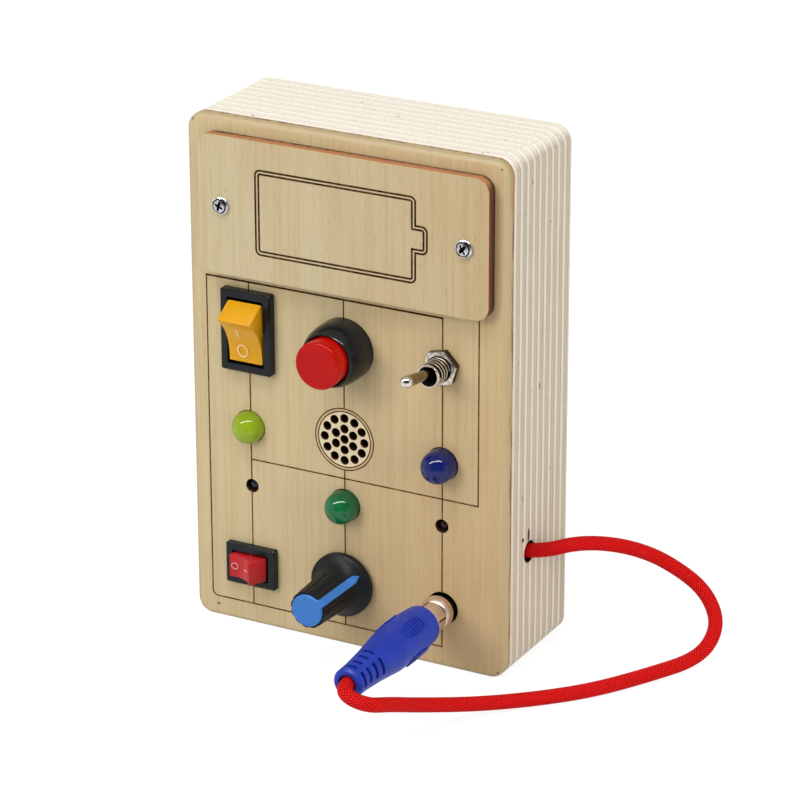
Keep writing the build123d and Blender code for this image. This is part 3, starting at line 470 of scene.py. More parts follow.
@material
def cell_sleeve(add):
    """Shrink sleeve of an AAA cell: black, a copper end band by the nub and bare steel ends."""
    where = add("TexCoord").outputs["Object"]
    axis = add("SeparateXYZ", [where]).outputs
    # the upper cell's nub is on the right, the lower one's on the left
    flip = add("Math", [axis["Z"], HATCH[1] * MM], operation="GREATER_THAN")
    flip = add("MapRange", {"Value": flip, "To Min": -1.0, "To Max": 1.0})
    run = add("Math", [axis["X"], HATCH[0] * MM], operation="SUBTRACT")
    run = add("Math", [run, flip], operation="MULTIPLY")
    run = add("MapRange", {"Value": run, "From Min": -20.3 * MM, "From Max": 24.5 * MM})
    paint = add("ValToRGB", [run],
                stops=((0.0, "#B9B4AA"), (0.012, "#15181B"), (0.70, "#16191C"), (0.705, "#B4713A"),
                       (0.965, "#B8743C"), (0.97, "#C2BDB4")))
    paint.color_ramp.interpolation = "CONSTANT"
    scuff = add("TexNoise", {"Vector": where, "Scale": 1000 / 1.5, "Detail": 3.0})
    shine = add("MapRange", {"Value": scuff, "To Min": 0.22, "To Max": 0.38})
    return add("BsdfPrincipled", {"Base Color": paint, "Roughness": shine, "Metallic": 0.25})


@material
def braided_sleeve(add):
    """Braided polyester sleeve: strands cross at 45 degrees, painted dark in the gaps as painted
    shade and pale on their crowns as painted highlights. They are 0.8 mm apart, coarser than real
    ones, so that they show."""
    strands = 14.0          # each way round the sleeve
    way = add("SeparateXYZ", [add("UVMap", uv_map="along")]).outputs
    crowns, cells = [], []
    for lay in ("ADD", "SUBTRACT"):
        turns = add("Math", [way["X"], way["Y"]], operation=lay)
        turns = add("Math", [turns, strands], operation="MULTIPLY")
        part = add("Math", [turns], operation="FRACT")
        angle = add("Math", [part, math.pi], operation="MULTIPLY")
        crowns.append(add("Math", [angle], operation="SINE"))
        cells.append(add("Math", [turns], operation="FLOOR"))
    over = add("Math", cells, operation="ADD")
    over = add("Math", [over, 0.5], operation="MULTIPLY")
    over = add("Math", [over], operation="FRACT")
    over = add("Math", [over, 0.25], operation="GREATER_THAN")
    upper = add("Mix", {0: over, 2: crowns[0], 3: crowns[1]}, data_type="FLOAT")
    lower = add("Mix", {0: over, 2: crowns[1], 3: crowns[0]}, data_type="FLOAT")
    bow = add("MapRange", {"Value": lower, "To Min": 0.55, "To Max": 1.0})
    height = add("Math", [upper, bow], operation="MULTIPLY")
    # painted shade in the gaps and painted highlights on the crowns, by the strands' height
    paint = add("ValToRGB", [height],
                stops=((0.0, "#4C0002"), (0.34, "#A80204"), (0.66, "#E60406"), (1.0, "#FF2018")))
    skin = add("Bump", {"Height": height, "Strength": 0.8, "Distance": 0.24 * MM})
    return add("BsdfPrincipled", {"Base Color": paint, "Roughness": 0.66,
                                  "Specular IOR Level": 0.12, "Normal": skin})


@material
def pan_head_screw(add):
    """Bright zinc plate; the cross recess is painted dark and dull as painted shade."""
    where = add("TexCoord").outputs["Object"]
    crown = min(v.co.y for v in nodes["cover_screw_left"].data.vertices)
    # both cover screws at once: the right one's place, with the left one mirrored on it
    off = add("VectorMath", [where, (HATCH[0] * MM, 0, HATCH[1] * MM)], operation="SUBTRACT")
    off = add("VectorMath", [off], operation="ABSOLUTE")
    near = reach(add, off, (31.9 * MM, 0, 0), (1, 0, 1))
    near = add("Math", [near, 1.8 * MM], operation="LESS_THAN")
    axis = add("SeparateXYZ", [where]).outputs
    sunk = add("Math", [axis["Y"], crown + 0.3 * MM], operation="GREATER_THAN")
    recess = add("Math", [near, sunk], operation="MULTIPLY")
    scuff = add("TexNoise", {"Vector": where, "Scale": 1000 / 0.9, "Detail": 3.0})
    bright = add("ValToRGB", [scuff], stops=((0.35, "#B8BABE"), (0.6, "#E2E4E6")))
    # the cross recess painted near-black: painted shade
    paint = add("Mix", {0: recess, 6: bright, 7: "#1E1E20"}, data_type="RGBA")
    return add("BsdfPrincipled", {"Base Color": paint, "Metallic": 1.0, "Roughness": 0.24})


@material
def lever_with_painted_reflection(add):
    """Nickel lever, bright at the tip; its shank is painted brown as a painted reflection of the
    wood.
    """
    where = add("TexCoord").outputs["Object"]
    axis = add("SeparateXYZ", [where]).outputs
    dull = add("MapRange", {"Value": axis["Y"], "From Min": (FACE_Y - 17.6) * MM,
                            "From Max": (FACE_Y - 16.6) * MM})
    reflection_blots = add("TexNoise", {"Vector": where, "Scale": 1000 / 1.8, "Detail": 3.0})
    # painted reflection of the wood along the shank, in blots
    brown = add("ValToRGB", [reflection_blots], stops=((0.35, "#85765A"), (0.65, "#9A8B70")))
    paint = add("Mix", {0: dull, 6: "#E0DCD6", 7: brown}, data_type="RGBA")
    return add("BsdfPrincipled", {"Base Color": paint, "Metallic": 1.0, "Roughness": 0.16})


@material
def rolled_thread(add):
    """Nickel thread: crests bright; its flanks and roots are painted dark and dull as painted
    shade.
    """
    where = add("TexCoord").outputs["Object"]
    crest = reach(add, where, spot(TOGGLE[0], 0, TOGGLE[1]), (1, 0, 1))
    crest = add("MapRange", {"Value": crest, "From Min": 2.80 * MM, "From Max": 2.86 * MM})
    # flanks and roots painted dark: painted shade
    paint = add("Mix", {0: crest, 6: "#1A1510", 7: "#EEE8DE"}, data_type="RGBA")
    shine = add("MapRange", {"Value": crest, "To Min": 0.6, "To Max": 0.34})
    return add("BsdfPrincipled", {"Base Color": paint, "Metallic": 1.0, "Roughness": shine})


@material
def pressed_nut(add):
    """Plated hexagon nut: bright turned face; its flats painted dull dark brown as a painted
    reflection.
    """
    coords = add("TexCoord").outputs
    turned = add("SeparateXYZ", [coords["Normal"]]).outputs
    front = add("Math", [turned["Y"]], operation="ABSOLUTE")
    front = add("MapRange", {"Value": front, "From Min": 0.3, "From Max": 0.6})
    lines = add("TexNoise", {"Vector": coords["Object"], "Scale": 1000 / 0.8, "Detail": 2.0})
    bright = add("ValToRGB", [lines], stops=((0.40, "#B8AEA0"), (0.60, "#E6DED4")))
    # the flats painted dark: painted reflection
    paint = add("Mix", {0: front, 6: "#4E4036", 7: bright}, data_type="RGBA")
    return add("BsdfPrincipled", {"Base Color": paint, "Metallic": 1.0, "Roughness": 0.26})


FINISH = {
    "birch_ply": birch_block("sanded_birch_plywood"),
    "birch_sheet": birch_sheet("laser_cut_birch_sheet"),
    # rocker bezels, push-button: black nylon, nearly smooth, so edges catch the light
    "black_plastic": moulded("moulded_black_nylon", "#0E1114", "#161A1D", 0.22),
    "polished_black": moulded("polished_black_nylon", "#14171A", "#1A1E22", 0.14, gloss=0.5),
    # knob: softer black with a fine matt skin
    "black_satin": moulded("matt_black_abs", "#0E1114", "#171A1E", 0.44, 0.25, 0.2, 0.2),
    "yellow_plastic": moulded("glossy_yellow_abs", "#D6980C", "#DEA012", 0.26),
    "red_plastic": moulded("glossy_red_abs", "#B41C22", "#BE262A", 0.30),
    "button_red": moulded("polished_red_abs", "#AC0602", "#B40A06", 0.16, gloss=0.2),
    "blue_cap": moulded("satin_blue_abs", "#3472BE", "#3C78C2", 0.42),
    "plug_blue": moulded("soft_blue_pvc", "#17319C", "#1E3BA8", 0.42, 0.3, 0.2),
    "lime_lens": tinted_epoxy("lime_lamp_epoxy", "#76900E", "#A0B82C", 4.7),
    "blue_lens": tinted_epoxy("blue_lamp_epoxy", "#0A1244", "#182672", 6.5),
    "green_lens": tinted_epoxy("green_lamp_epoxy", "#0C4C2A", "#1E7846", 5.9),
    "grey_lens": tinted_epoxy("smoked_lamp_epoxy", "#1C242C", "#4A5866", 0.5),
    "purple_lens": tinted_epoxy("plum_lamp_epoxy", "#2A0C14", "#5C2030", 0.5),
    "nickel": plated("nickel_plated_brass", "#D8D0C4", 0.18),
    # roots of a thread and the bottom of the collar's groove, painted dark and dull as painted
    # shade
    "thread_root": plated("dulled_nickel_root", "#2A2620", 0.5),
    # collar: nickel over a turned surface that spreads the light
    "collar_nickel": plated("warm_nickel_plate", "#E0CDBE", 0.36),
    "zinc": pan_head_screw("zinc_plated_screw"),
    "tinned_brass": plated("tinned_brass", "#C9C09C", 0.36),
    "cell_wrap": cell_sleeve("cell_shrink_sleeve"),
    "tray_plastic": moulded("matt_black_pp", "#16181A", "#1E2022", 0.55, 0.3, 0.2),
    "cone_paper": moulded("black_cone_paper", "#141414", "#201E1C", 0.85, 0.12, 0.5),
    "magnet": moulded("sintered_ferrite", "#2C2C2E", "#3A3A3C", 0.6, 0.1, 0.3),
    "red_braid": braided_sleeve("braided_polyester_sleeve"),
}
slots = {part["node"]: part["material_slot"] for part in frame["record"]["subparts"]}
for name, piece in nodes.items():
    piece.data.materials.clear()
    piece.data.materials.append(FINISH[slots[name]])
nodes["battery_cover"].data.materials[0] = birch_hatch("laser_cut_birch_hatch")
nodes["toggle_lever"].data.materials[0] = lever_with_painted_reflection("handled_nickel_lever")
# the hatch's drawing is burnt deep, the panel's wiring lines lightly
deep_char = burnt_line("deep_laser_char", ((0.34, "#241407"), (0.5, "#38220F"), (0.66, "#5A3A1C")))
light_char = burnt_line("light_laser_char", ((0.34, "#40260E"), (0.5, "#5C3818"),
                                             (0.66, "#7E5026")))


# ------------------------------------------------------------------ tools for new pieces
def only(piece=None):
    """Selects this piece alone, or nothing."""
    bpy.ops.object.select_all(action="DESELECT")
    if piece:
        piece.select_set(True)
        bpy.context.view_layer.objects.active = piece


def primitive(kind, **settings):
    """New primitive, with nothing else selected."""
    only()
    getattr(bpy.ops.mesh, "primitive_" + kind + "_add")(**settings)
    return bpy.context.active_object


def size_to(piece, x, y, z):
    """Gives a primitive of size 1 its size in mm, along its own axes."""
    piece.scale = (x * MM, y * MM, z * MM)
    bpy.ops.object.transform_apply(location=False, rotation=False, scale=True)


@contextmanager
def editing():
    """Edit mode, with all of the active piece selected."""
    bpy.ops.object.mode_set(mode="EDIT")
    bpy.ops.mesh.select_all(action="SELECT")
    yield
    bpy.ops.object.mode_set(mode="OBJECT")


def pick(mesh, kind, test):
    """Selects each vert, edge or face that passes the test, in edit mode."""
    bpy.ops.mesh.select_mode(type=kind.upper())
    bpy.ops.mesh.select_all(action="DESELECT")
    shape = bmesh.from_edit_mesh(mesh)
    for part in getattr(shape, kind + "s"):
        part.select = test(part)
    bmesh.update_edit_mesh(mesh)


def modify(piece, kind, **settings):
    """Adds a modifier with its settings and applies it."""
    change = piece.modifiers.new(kind.lower(), kind)
    for name, value in settings.items():
        setattr(change, name, value)
    only(piece)
    bpy.ops.object.modifier_apply(modifier=change.name)


def carve(piece, cutter):
    """Cuts one shape out of a piece, and clears the cutter away."""
    modify(piece, "BOOLEAN", operation="DIFFERENCE", solver="EXACT", object=cutter)
    bpy.data.objects.remove(cutter)


def ease(piece, width, segments, angle):
    """Rounds or chamfers the edges sharper than an angle in degrees."""
    modify(piece, "BEVEL", width=width * MM, segments=segments, limit_method="ANGLE",
           angle_limit=math.radians(angle))


def join(pieces):
    only(pieces[0])
    for piece in pieces:
        piece.select_set(True)
    bpy.ops.object.join()
    return pieces[0]


def settle(piece, name, finish, body, at=None, out=0):
    """Puts the piece's place in its mesh, names it and lets it ride on a body. A piece made
    about z is first stood on the face, at x and z, out mm in front."""
    if at:
        piece.rotation_euler = FACING
        piece.location = spot(at[0], out, at[1])
    only(piece)
    bpy.ops.object.transform_apply(location=True, rotation=True, scale=True)
    piece.name = piece.data.name = name
    piece.data.materials.clear()
    piece.data.materials.append(finish)
    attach(piece, body)


def wound(profile, steps, **settings):
    """Closed (radius, height) profile in mm, wound about z."""
    shape = primitive("circle", vertices=len(profile), radius=MM)
    for v, (r, h) in zip(shape.data.vertices, profile):
        v.co = (r * MM, 0, h * MM)
    modify(shape, "SCREW", axis="Z", angle=2 * math.pi, steps=steps, render_steps=steps,
           **settings)
    return shape


def lathe(profile, steps=64):
    """Ring about z from a closed (radius, height) profile in mm."""
    ring = wound(profile, steps, use_merge_vertices=True, merge_threshold=WELD)
    with editing():
        bpy.ops.mesh.normals_make_consistent(inside=False)
    bpy.ops.object.shade_smooth_by_angle(angle=0.6)
    return ring


def helix(profile, turns, pitch, steps=40, draw_in=0.0, over=1.0):
    """Coil about z from a closed (radius, height) profile in mm. It draws in by draw_in mm,
    evenly up to the height over, and stays so above it."""
    coil = wound(profile, steps, screw_offset=pitch * MM, iterations=turns,
                 use_merge_vertices=False)
    for v in coil.data.vertices:
        r = math.hypot(v.co.x, v.co.y)
        keep = 1 - draw_in * MM * min(1.0, v.co.z / (over * MM)) / r
        v.co.x *= keep
        v.co.y *= keep
    with editing():
        bpy.ops.mesh.fill_holes(sides=len(profile))
        bpy.ops.mesh.select_all(action="SELECT")
        bpy.ops.mesh.normals_make_consistent(inside=False)
    bpy.ops.object.shade_smooth_by_angle(angle=0.7)
    return coil


# ------------------------------------------------------------------ cord
# x, depth behind the face, and z, in mm
ROUTE = [(36.9, 13.2, 28.1), (43.6, 13.25, 28.15), (53.3, 19.43, 30.96), (63.39, 30.96, 26.31),
         (73.06, 37.42, 18.47), (78.15, 38.25, 12.65), (80.73, 35.79, 7.02), (79.09, 29.02, 2.05),
         (71.75, 15.3, 1.78), (63.9, 1.97, 1.84), (54.06, -8.3, 1.78), (44.02, -18.72, 2.65),
         (36.99, -33.41, 7.23), (34.8, -43.04, 11.12), (33.34, -49.9, 13.45),
         (28.99, -51.33, 14.89), (25.6, -48.49, 15.4), (25.6, -44.9, 15.4)]


def read_route():
    """Points along the cord's NURBS line, read from the curve."""
    line = bpy.data.curves.new("cord_line", "CURVE")
    line.dimensions = "3D"
    path = line.splines.new("NURBS")
    path.points.add(len(ROUTE) - 1)
    for point, (x, back, z) in zip(path.points, ROUTE):
        point.co = (*spot(x, -back, z), 1)
    path.order_u = 3
    path.use_endpoint_u = True
    path.resolution_u = 16
    holder = link("cord_line", line)
    bpy.context.view_layer.update()
    traced = bpy.data.meshes.new_from_object(holder)
    points = [v.co.copy() for v in traced.vertices]
    bpy.data.objects.remove(holder)
    bpy.data.meshes.remove(traced)
    return points


def resample(points, step):
    """Points at even steps along a line, and how far along each one is."""
    runs = [(b - a).length for a, b in zip(points, points[1:])]
    count = round(sum(runs) / step)
    even, marks, k, gone = [], [], 0, 0.0
    for n in range(count + 1):
        want = sum(runs) * n / count
        while k < len(runs) - 1 and gone + runs[k] < want:
            gone += runs[k]
            k += 1
        even.append(points[k].lerp(points[k + 1], min(1.0, (want - gone) / runs[k])))
        marks.append(want)
    return even, marks


def make_cord(collar, sides=20):
    """Cord from the side of the box to the plug, a braided tube in place of the imported one. The
    plug's pieces, passed in as collar, are not used.
    """
    points = read_route()
    centres, marks = resample(points, 0.7 * MM)
    ways = [(b - a).normalized() for a, b in zip(centres, centres[1:])]
    ways = [ways[0]] + [(a + b).normalized() for a, b in zip(ways, ways[1:])] + [ways[-1]]
    side = ways[0].orthogonal().normalized()
    verts = []
    for centre, way in zip(centres, ways):
        side = (side - way * side.dot(way)).normalized()
        other = way.cross(side)
        for k in range(sides):
            turn = 2 * math.pi * k / sides
            verts.append(centre + (side * math.cos(turn) + other * math.sin(turn)) * CORD_R * MM)
    # faces, and for each of their corners how far it is along and round the cord, in turns
    faces, wraps = [], []
    around = 2 * math.pi * CORD_R * MM
    for n in range(len(centres) - 1):
        for k in range(sides):
            a, b = n * sides + k, n * sides + (k + 1) % sides
            faces.append((a, b, b + sides, a + sides))
            wraps += [(marks[n + i] / around, (k + j) / sides) for i, j in
                      ((0, 0), (0, 1), (1, 1), (1, 0))]
    last = (len(centres) - 1) * sides
    faces += [tuple(range(sides - 1, -1, -1)), tuple(range(last, last + sides))]
    wraps += [(0.0, k / sides) for k in range(sides - 1, -1, -1)]
    wraps += [(marks[-1] / around, k / sides) for k in range(sides)]
    tube = bpy.data.meshes.new("cord_braid")
    tube.from_pydata(verts, [], faces)
    for loop, wrap in zip(tube.uv_layers.new(name="along").data, wraps):
        loop.uv = wrap
    tube.shade_smooth()
    tube.materials.append(FINISH["red_braid"])
    cord = link("cord_braid", tube)
    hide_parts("cord")
    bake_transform(cord)


# ------------------------------------------------------------------ engraved lines
# wiring lines in the panel: from x, z to x, z, and their width
WIRES = [(-37.5, 88.3, 25.5, 88.3, HATCH_LINE), (-26, 5.6, -26, 88.0, LINE),
         (-0.5, 5.6, -0.5, 45.4, LINE), (-0.5, 61.2, -0.5, 88.0, LINE),
         (34.9, 43.3, 34.9, 89.9, LINE), (-25.7, 43.3, 34.9, 43.3, LINE)]
# places where an upright line goes under a piece or over a hole: x, z, half height
BREAKS = [(-25.9, 15.8, 5.0), (-25.9, 36.4, 1.78), (-26.3, 51.7, 3.9), (-25.9, 76.3, 10.0),
          (-0.75, 16.4, 5.2), (-0.5, 36.5, 3.9), (-0.3, 76.2, 7.5),
          (25.5, 15.4, 4.15), (25.4, 36.4, 1.78), (25.5, 52.2, 3.9), (25.5, 76.5, 3.8)]


def strip(x0, z0, x1, z1, width):
    """Flat strip on the panel, from one point to another and half its width beyond."""
    line = primitive("plane", size=1, location=spot((x0 + x1) / 2, PROUD, (z0 + z1) / 2),
                     rotation=FACING)
    size_to(line, x1 - x0 + width, z1 - z0 + width, 1)
    return line


def hollow_out(width):
    """Leaves only a line of that width along the edge of the active flat piece."""
    bpy.ops.mesh.select_all(action="SELECT")
    bpy.ops.mesh.inset(thickness=width * MM)
    bpy.ops.mesh.delete(type="FACE")


def make_engraving():
    """Wiring lines burnt into the face sheet, and the two rings round the grille."""
    border = strip(-37.5, 5.33, 25.5, 88.3, LINE)
    with editing():
        pick(border.data, "vert", lambda corner: corner.co.x < 0 and corner.co.y < 0)
        bpy.ops.mesh.bevel(offset=1.6 * MM, segments=6, affect="VERTICES")
        hollow_out(LINE)
    lines = join([border] + [strip(*wire) for wire in WIRES])
    bpy.ops.object.transform_apply(location=True, rotation=True, scale=True)

    def beside(face, x):
        return abs(face.calc_center_median().x - x * MM) < 2 * MM

    for x, z, half in BREAKS:
        with editing():
            for cut in (z - half, z + half):
                pick(lines.data, "face", lambda face: beside(face, x))
                bpy.ops.mesh.bisect(plane_co=(0, 0, cut * MM), plane_no=(0, 0, 1))
            pick(lines.data, "face", lambda face: beside(face, x)
                 and abs(face.calc_center_median().z - z * MM) < half * MM)
            bpy.ops.mesh.delete(type="FACE")
    parts = [lines]
    for radius in (7.90, 7.15):
        parts.append(primitive("circle", vertices=96, radius=radius * MM, fill_type="NGON",
                               location=spot(GRILLE[0], PROUD, GRILLE[1]), rotation=FACING))
        with editing():
            hollow_out(0.30)
    lines = join(parts)
    modify(lines, "SOLIDIFY", thickness=BURN * MM, offset=-1.0)
    settle(lines, "engraved_lines", light_char, "box")


def battery_line(inward, radius):
    """One closed line of the battery drawing, that far inside its outer edge."""
    left, right, tip = -22.2 + inward, 20.2 - inward, 23.2 - inward
    rows = (96.6 + inward, 103.9 + inward, 110.9 - inward, 117.7 - inward)
    mid_x, mid_z = (left + right) / 2, (rows[0] + rows[3]) / 2
    mark = primitive("grid", x_subdivisions=1, y_subdivisions=3, size=1,
                     location=spot(mid_x, SHEET + PROUD, mid_z), rotation=FACING)
    size_to(mark, right - left, rows[3] - rows[0], 1)
    levels = sorted({round(v.co.y, 6) for v in mark.data.vertices})
    for v in mark.data.vertices:
        v.co.y = (rows[levels.index(round(v.co.y, 6))] - mid_z) * MM
    nub = (rows[1] + rows[2]) / 2 - mid_z
    top = max(abs(v.co.y) for v in mark.data.vertices)

    def behind_nub(edge):
        at = (edge.verts[0].co + edge.verts[1].co) / 2
        return at.x > (right - mid_x - 0.1) * MM and abs(at.y - nub * MM) < MM

    with editing():
        pick(mark.data, "edge", behind_nub)
        bpy.ops.mesh.extrude_region_move(
            TRANSFORM_OT_translate={"value": ((tip - right) * MM, 0, 0)})
        bpy.ops.mesh.select_all(action="SELECT")
        bpy.ops.mesh.dissolve_limited(angle_limit=0.01)
        pick(mark.data, "vert", lambda corner: corner.co.x > (right - mid_x + 0.5) * MM
             or abs(corner.co.y) > top - 0.01 * MM)
        bpy.ops.mesh.bevel(offset=radius * MM, segments=6, affect="VERTICES")
        hollow_out(HATCH_LINE)
    return mark


def make_battery_outline():
    """Double outline of a battery with its nub, burnt into the hatch."""
    lines = join([battery_line(0.0, 1.5), battery_line(0.87, 0.7)])
    modify(lines, "SOLIDIFY", thickness=BURN * MM, offset=-1.0)
    settle(lines, "battery_outline", deep_char, "cover")


# ------------------------------------------------------------------ metal pieces
def cross_screw(side, x, twist):
    """Cover screw with its cross recess cut into the head."""
    screw = link("cross_screw_" + side, nodes["cover_screw_" + side].data.copy())
    only(screw)
    with editing():
        bpy.ops.mesh.remove_doubles(threshold=WELD)
    for turn in (twist, twist + math.pi / 2):
        blade = primitive("cube", size=1, location=spot(x, 4.5, HATCH[1]), rotation=(0, turn, 0))
        size_to(blade, 3.3, 2.2, 0.85)
        with editing():
            pick(blade.data, "face", lambda face: face.normal.y > 0.9)
            bpy.ops.transform.resize(value=(0.35, 1, 0.7))
        carve(screw, blade)
    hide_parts("cover_screw_" + side)
    settle(screw, "cross_screw_" + side, FINISH["zinc"], "screw_" + side)


def make_toggle_neck():
    """Threaded bushing of the toggle with a rolled lip; its core is painted dark as painted shade
    in the thread's roots, and a black sleeve in its mouth stands for the shade inside it.
    """
    # the bushing's core, painted dark as painted shade between the thread's turns
    neck = lathe([(2.3, -3.0), (2.42, -3.0), (2.42, 6.9), (2.3, 6.9), (1.98, 4.6), (1.98, 2.3),
                  (2.3, 1.6)])
    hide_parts("toggle_bushing")
    settle(neck, "toggle_neck", FINISH["thread_root"], "box", TOGGLE)
    lip = lathe([(2.36, 6.5), (2.7, 6.5), (2.86, 6.75), (2.88, 7.02), (2.72, 7.3), (2.44, 7.32),
                 (2.34, 7.15)])
    settle(lip, "toggle_lip", FINISH["nickel"], "box", TOGGLE)
    # the real thread is 0.5 mm a turn; 1.15 mm and a deeper root let each turn show
    thread = helix([(2.38, 0.0), (2.46, 0.0), (2.86, 0.04), (2.9, 0.10), (2.9, 0.42),
                    (2.86, 0.48), (2.46, 0.52), (2.38, 0.52)], 4, 1.15)
    settle(thread, "toggle_thread", rolled_thread("rolled_nickel_thread"), "box",
           TOGGLE, 1.75)
    # a black sleeve in the mouth: painted shade inside the bushing
    mouth_shade = lathe([(2.0, 2.6), (2.0, 4.6), (2.32, 6.75), (2.14, 6.75), (1.80, 4.6), (1.80, 2.6)],
                  40)
    settle(mouth_shade, "toggle_mouth_shade", FINISH["black_satin"], "box", TOGGLE)


def make_toggle_nut():
    """Hexagon nut on the toggle's thread, with a broken edge and a bored middle."""
    nut = primitive("cylinder", vertices=6, radius=4.68 * MM, depth=2 * MM, location=(0, 0, MM),
                    rotation=(0, 0, math.radians(-17)))
    bpy.ops.object.transform_apply(location=True, rotation=True, scale=True)
    carve(nut, primitive("cylinder", vertices=48, radius=3.0 * MM, depth=4 * MM,
                         location=(0, 0, MM)))
    ease(nut, 0.2, 1, 50)
    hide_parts("toggle_nut")
    settle(nut, "hexagon_nut", pressed_nut("plated_hexagon_nut"), "box", TOGGLE)


def make_collar():
    """Plug's collar: a rounded band in front, a groove lined with a dark ring as painted shade, and
    four sprung fingers behind.
    """
    collar = lathe([(3.2, 1.5), (3.6, 1.5), (3.82, 1.62), (3.95, 1.95), (4.0, 2.3), (4.0, 2.5),
                    (3.8, 2.56), (3.8, 2.78), (4.0, 2.84), (4.0, 3.4), (3.94, 3.9), (3.8, 4.3),
                    (3.58, 4.62), (3.42, 4.76), (3.42, 5.3), (3.74, 5.36), (3.85, 5.5),
                    (3.85, 12.6), (3.75, 12.8), (3.2, 12.8)], 96)
    wall_r, height = 3.6 * MM, 7.1 * MM       # middle of each slit
    for k in range(4):
        turn = math.radians(10 + 90 * k)
        saw = primitive("cube", size=1, rotation=(0, 0, turn), location=(
            wall_r * math.cos(turn), wall_r * math.sin(turn), height))
        saw.scale = (1.4 * MM, 0.45 * MM, 3.4 * MM)
        carve(collar, saw)
    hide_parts("plug_collar")
    settle(collar, "slotted_collar", FINISH["collar_nickel"], "plug", PLUG)
    # a dark ring in the groove's bottom: painted shade
    groove = lathe([(3.3, 4.82), (3.5, 4.82), (3.5, 5.28), (3.3, 5.28)], 96)
    settle(groove, "collar_groove_shade", FINISH["thread_root"], "plug", PLUG)
    return [collar, groove]


def make_button_lip():
    """Chamfered lip of the push-button's rim, which catches a bright arc."""
    lip = lathe([(6.14, 8.3), (6.14, 8.9), (6.24, 9.06), (6.34, 9.08), (6.66, 8.76), (6.7, 8.6),
                 (6.7, 8.3)], 96)
    settle(lip, "button_lip", FINISH["polished_black"], "box", BUTTON)


def make_springs():
    """Coiled battery springs, wide at the contact plate and narrow at the cell."""
    coil_r, wire_r, base, cell_depth = 3.3, 0.3, 0.32, 9.85
    wire = [(coil_r + wire_r * math.cos(a), base + wire_r * math.sin(a))
            for a in (math.radians(45 * k) for k in range(8))]
    for row, x, z, turn in (("upper", -23.8, 112.85, 1), ("lower", 25.2, 101.95, -1)):
        spring = helix(wire, 4, 0.96, 32, 1.4, 4.2)
        spring.rotation_euler = (0, turn * math.pi / 2, 0)
        spring.location = spot(x, -cell_depth, z)
        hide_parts("battery_spring_" + row)
        settle(spring, "coil_spring_" + row, FINISH["nickel"], "box")


# ------------------------------------------------------------------ rockers
# Each rocker: at and pin, where its pin is on the face and how far out; was and now, its face
# before and after it is recut, as how far along and high its ridges are, its dish, and its tilt
# in degrees; narrow and shift, what is done to its width.
LARGE = {"at": LARGE_ROCKER, "pin": 1.2, "level_pin": True, "was": (7.08, 3.64, 2.3, 20.0),
         "now": (6.5, 3.95, 2.3, 25.5), "narrow": 1.0, "shift": 0.0}
SMALL = {"at": SMALL_ROCKER, "pin": 1.0, "level_pin": False, "was": (3.9, 3.4, 2.5, 23.0),
         "now": (3.85, 3.8, 2.5, 23.0), "narrow": 0.95, "shift": 0.1}


def from_pin(rocker, across, up, out):
    """x, out and z of a point given from a rocker's pin; an upright pin turns up to the right."""
    across += rocker["shift"]
    x, z = (across, up) if rocker["level_pin"] else (up, -across)
    return rocker["at"][0] + x, rocker["pin"] + out, rocker["at"][1] + z


def on_face(rocker, across, along, proud=0.0):
    """The same for a point on the recut face, or proud mm above it."""
    ridge, top, dish, tilt = rocker["now"]
    lean = math.radians(tilt)
    bend = (ridge ** 2 + (top - dish) ** 2) / (2 * (top - dish))
    height = dish + bend - math.sqrt(bend ** 2 - along ** 2) + proud
    return from_pin(rocker, across, along * math.cos(lean) - height * math.sin(lean),
                    along * math.sin(lean) + height * math.cos(lean))


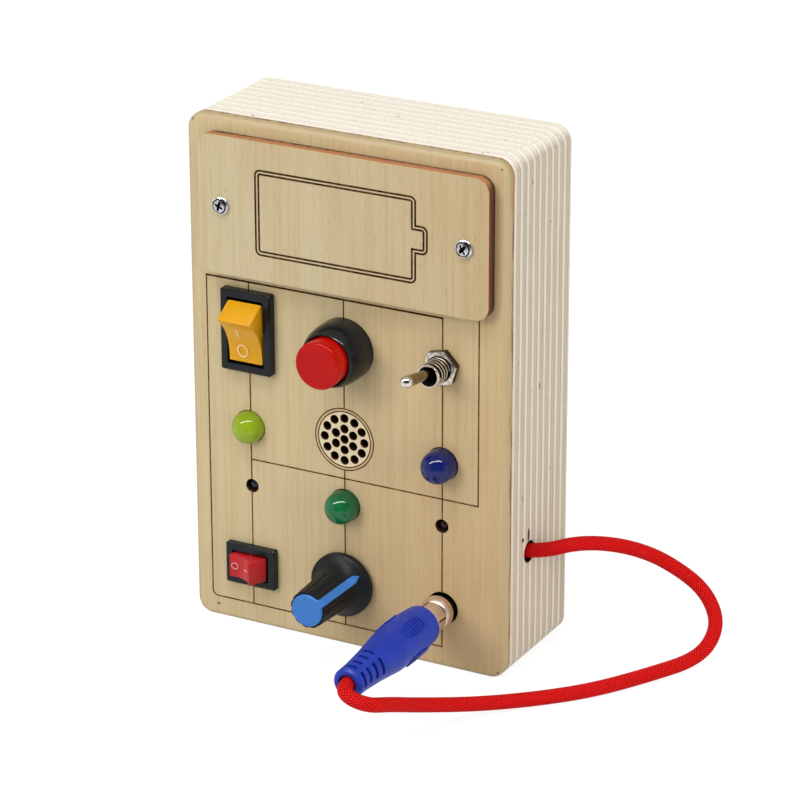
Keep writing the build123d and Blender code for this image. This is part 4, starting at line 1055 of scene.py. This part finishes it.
def recut(rocker, body, name, slot):
    """Rocker with its hollow face cut to a tighter arc and its edges eased."""
    piece = link(name, nodes[body + "_paddle"].data.copy())
    lean = math.radians(rocker["was"][3])
    for v in piece.data.vertices:
        x, z = v.co.x / MM - rocker["at"][0], v.co.z / MM - rocker["at"][1]
        out = FACE_Y - v.co.y / MM - rocker["pin"]
        across, up = (x, z) if rocker["level_pin"] else (-z, x)
        across *= rocker["narrow"]
        along = up * math.cos(lean) + out * math.sin(lean)
        if out * math.cos(lean) - up * math.sin(lean) > 1.0:
            v.co = spot(*on_face(rocker, across, along * rocker["now"][0] / rocker["was"][0]))
        else:
            v.co = spot(*from_pin(rocker, across, up, out))
    only(piece)
    with editing():
        bpy.ops.mesh.remove_doubles(threshold=WELD)
        bpy.ops.mesh.dissolve_limited(angle_limit=0.01)
        bpy.ops.mesh.normals_make_consistent(inside=False)
    ease(piece, 0.22, 3, 40)
    bpy.ops.object.shade_smooth_by_angle(angle=0.5)
    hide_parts(body + "_paddle")
    settle(piece, name, FINISH[slot], body)


def print_marks(rocker, body, ring, bar, thick, finish):
    """Off and on marks printed on a rocker's face. Ring is its middle and half its size, across
    and along, and its number of points; bar is its place across, and its start, step and number
    of points along."""
    x, y, wide, high, count = ring
    turns = [math.radians(360 / count * k) for k in range(count)]
    runs = [[(x + wide * math.cos(a), y + high * math.sin(a)) for a in turns]]
    x, start, step, count = bar
    runs.append([(x, start + step * k) for k in range(count)])
    line = bpy.data.curves.new(body + "_marks", "CURVE")
    line.dimensions = "3D"
    line.bevel_depth = thick * MM
    line.bevel_resolution = 2
    line.use_fill_caps = True
    for run in runs:
        path = line.splines.new("POLY")
        path.points.add(len(run) - 1)
        for point, place in zip(path.points, run):
            point.co = (*spot(*on_face(rocker, *place, 0.12)), 1)
    line.splines[0].use_cyclic_u = True
    only(link(body + "_marks", line))
    bpy.ops.object.convert(target="MESH")
    settle(bpy.context.active_object, body + "_marks", finish, body)


def make_rockers():
    """Both rockers, and the off and on marks printed on them."""
    recut(LARGE, "rocker_large", "yellow_rocker", "yellow_plastic")
    recut(SMALL, "rocker_small", "red_rocker", "red_plastic")
    print_marks(LARGE, "rocker_large", (-0.6, -3.7, 1.3, 1.5, 24),
                (-0.7, 0.5, 0.26, 10), 0.2,
                moulded("pad_printed_cream", "#FFDC96", "#FFE2A4", 0.4))
    print_marks(SMALL, "rocker_small", (0.0, -2.5, 0.76, 0.84, 18),
                (0.1, 0.55, 0.22, 8), 0.16,
                moulded("pad_printed_rose", "#E08E94", "#E89CA0", 0.4))


make_engraving()
make_battery_outline()
cross_screw("left", -31.2, 0.35)
cross_screw("right", 32.6, 0.9)
make_toggle_neck()
make_toggle_nut()
make_cord(make_collar())
make_button_lip()
make_springs()
make_rockers()
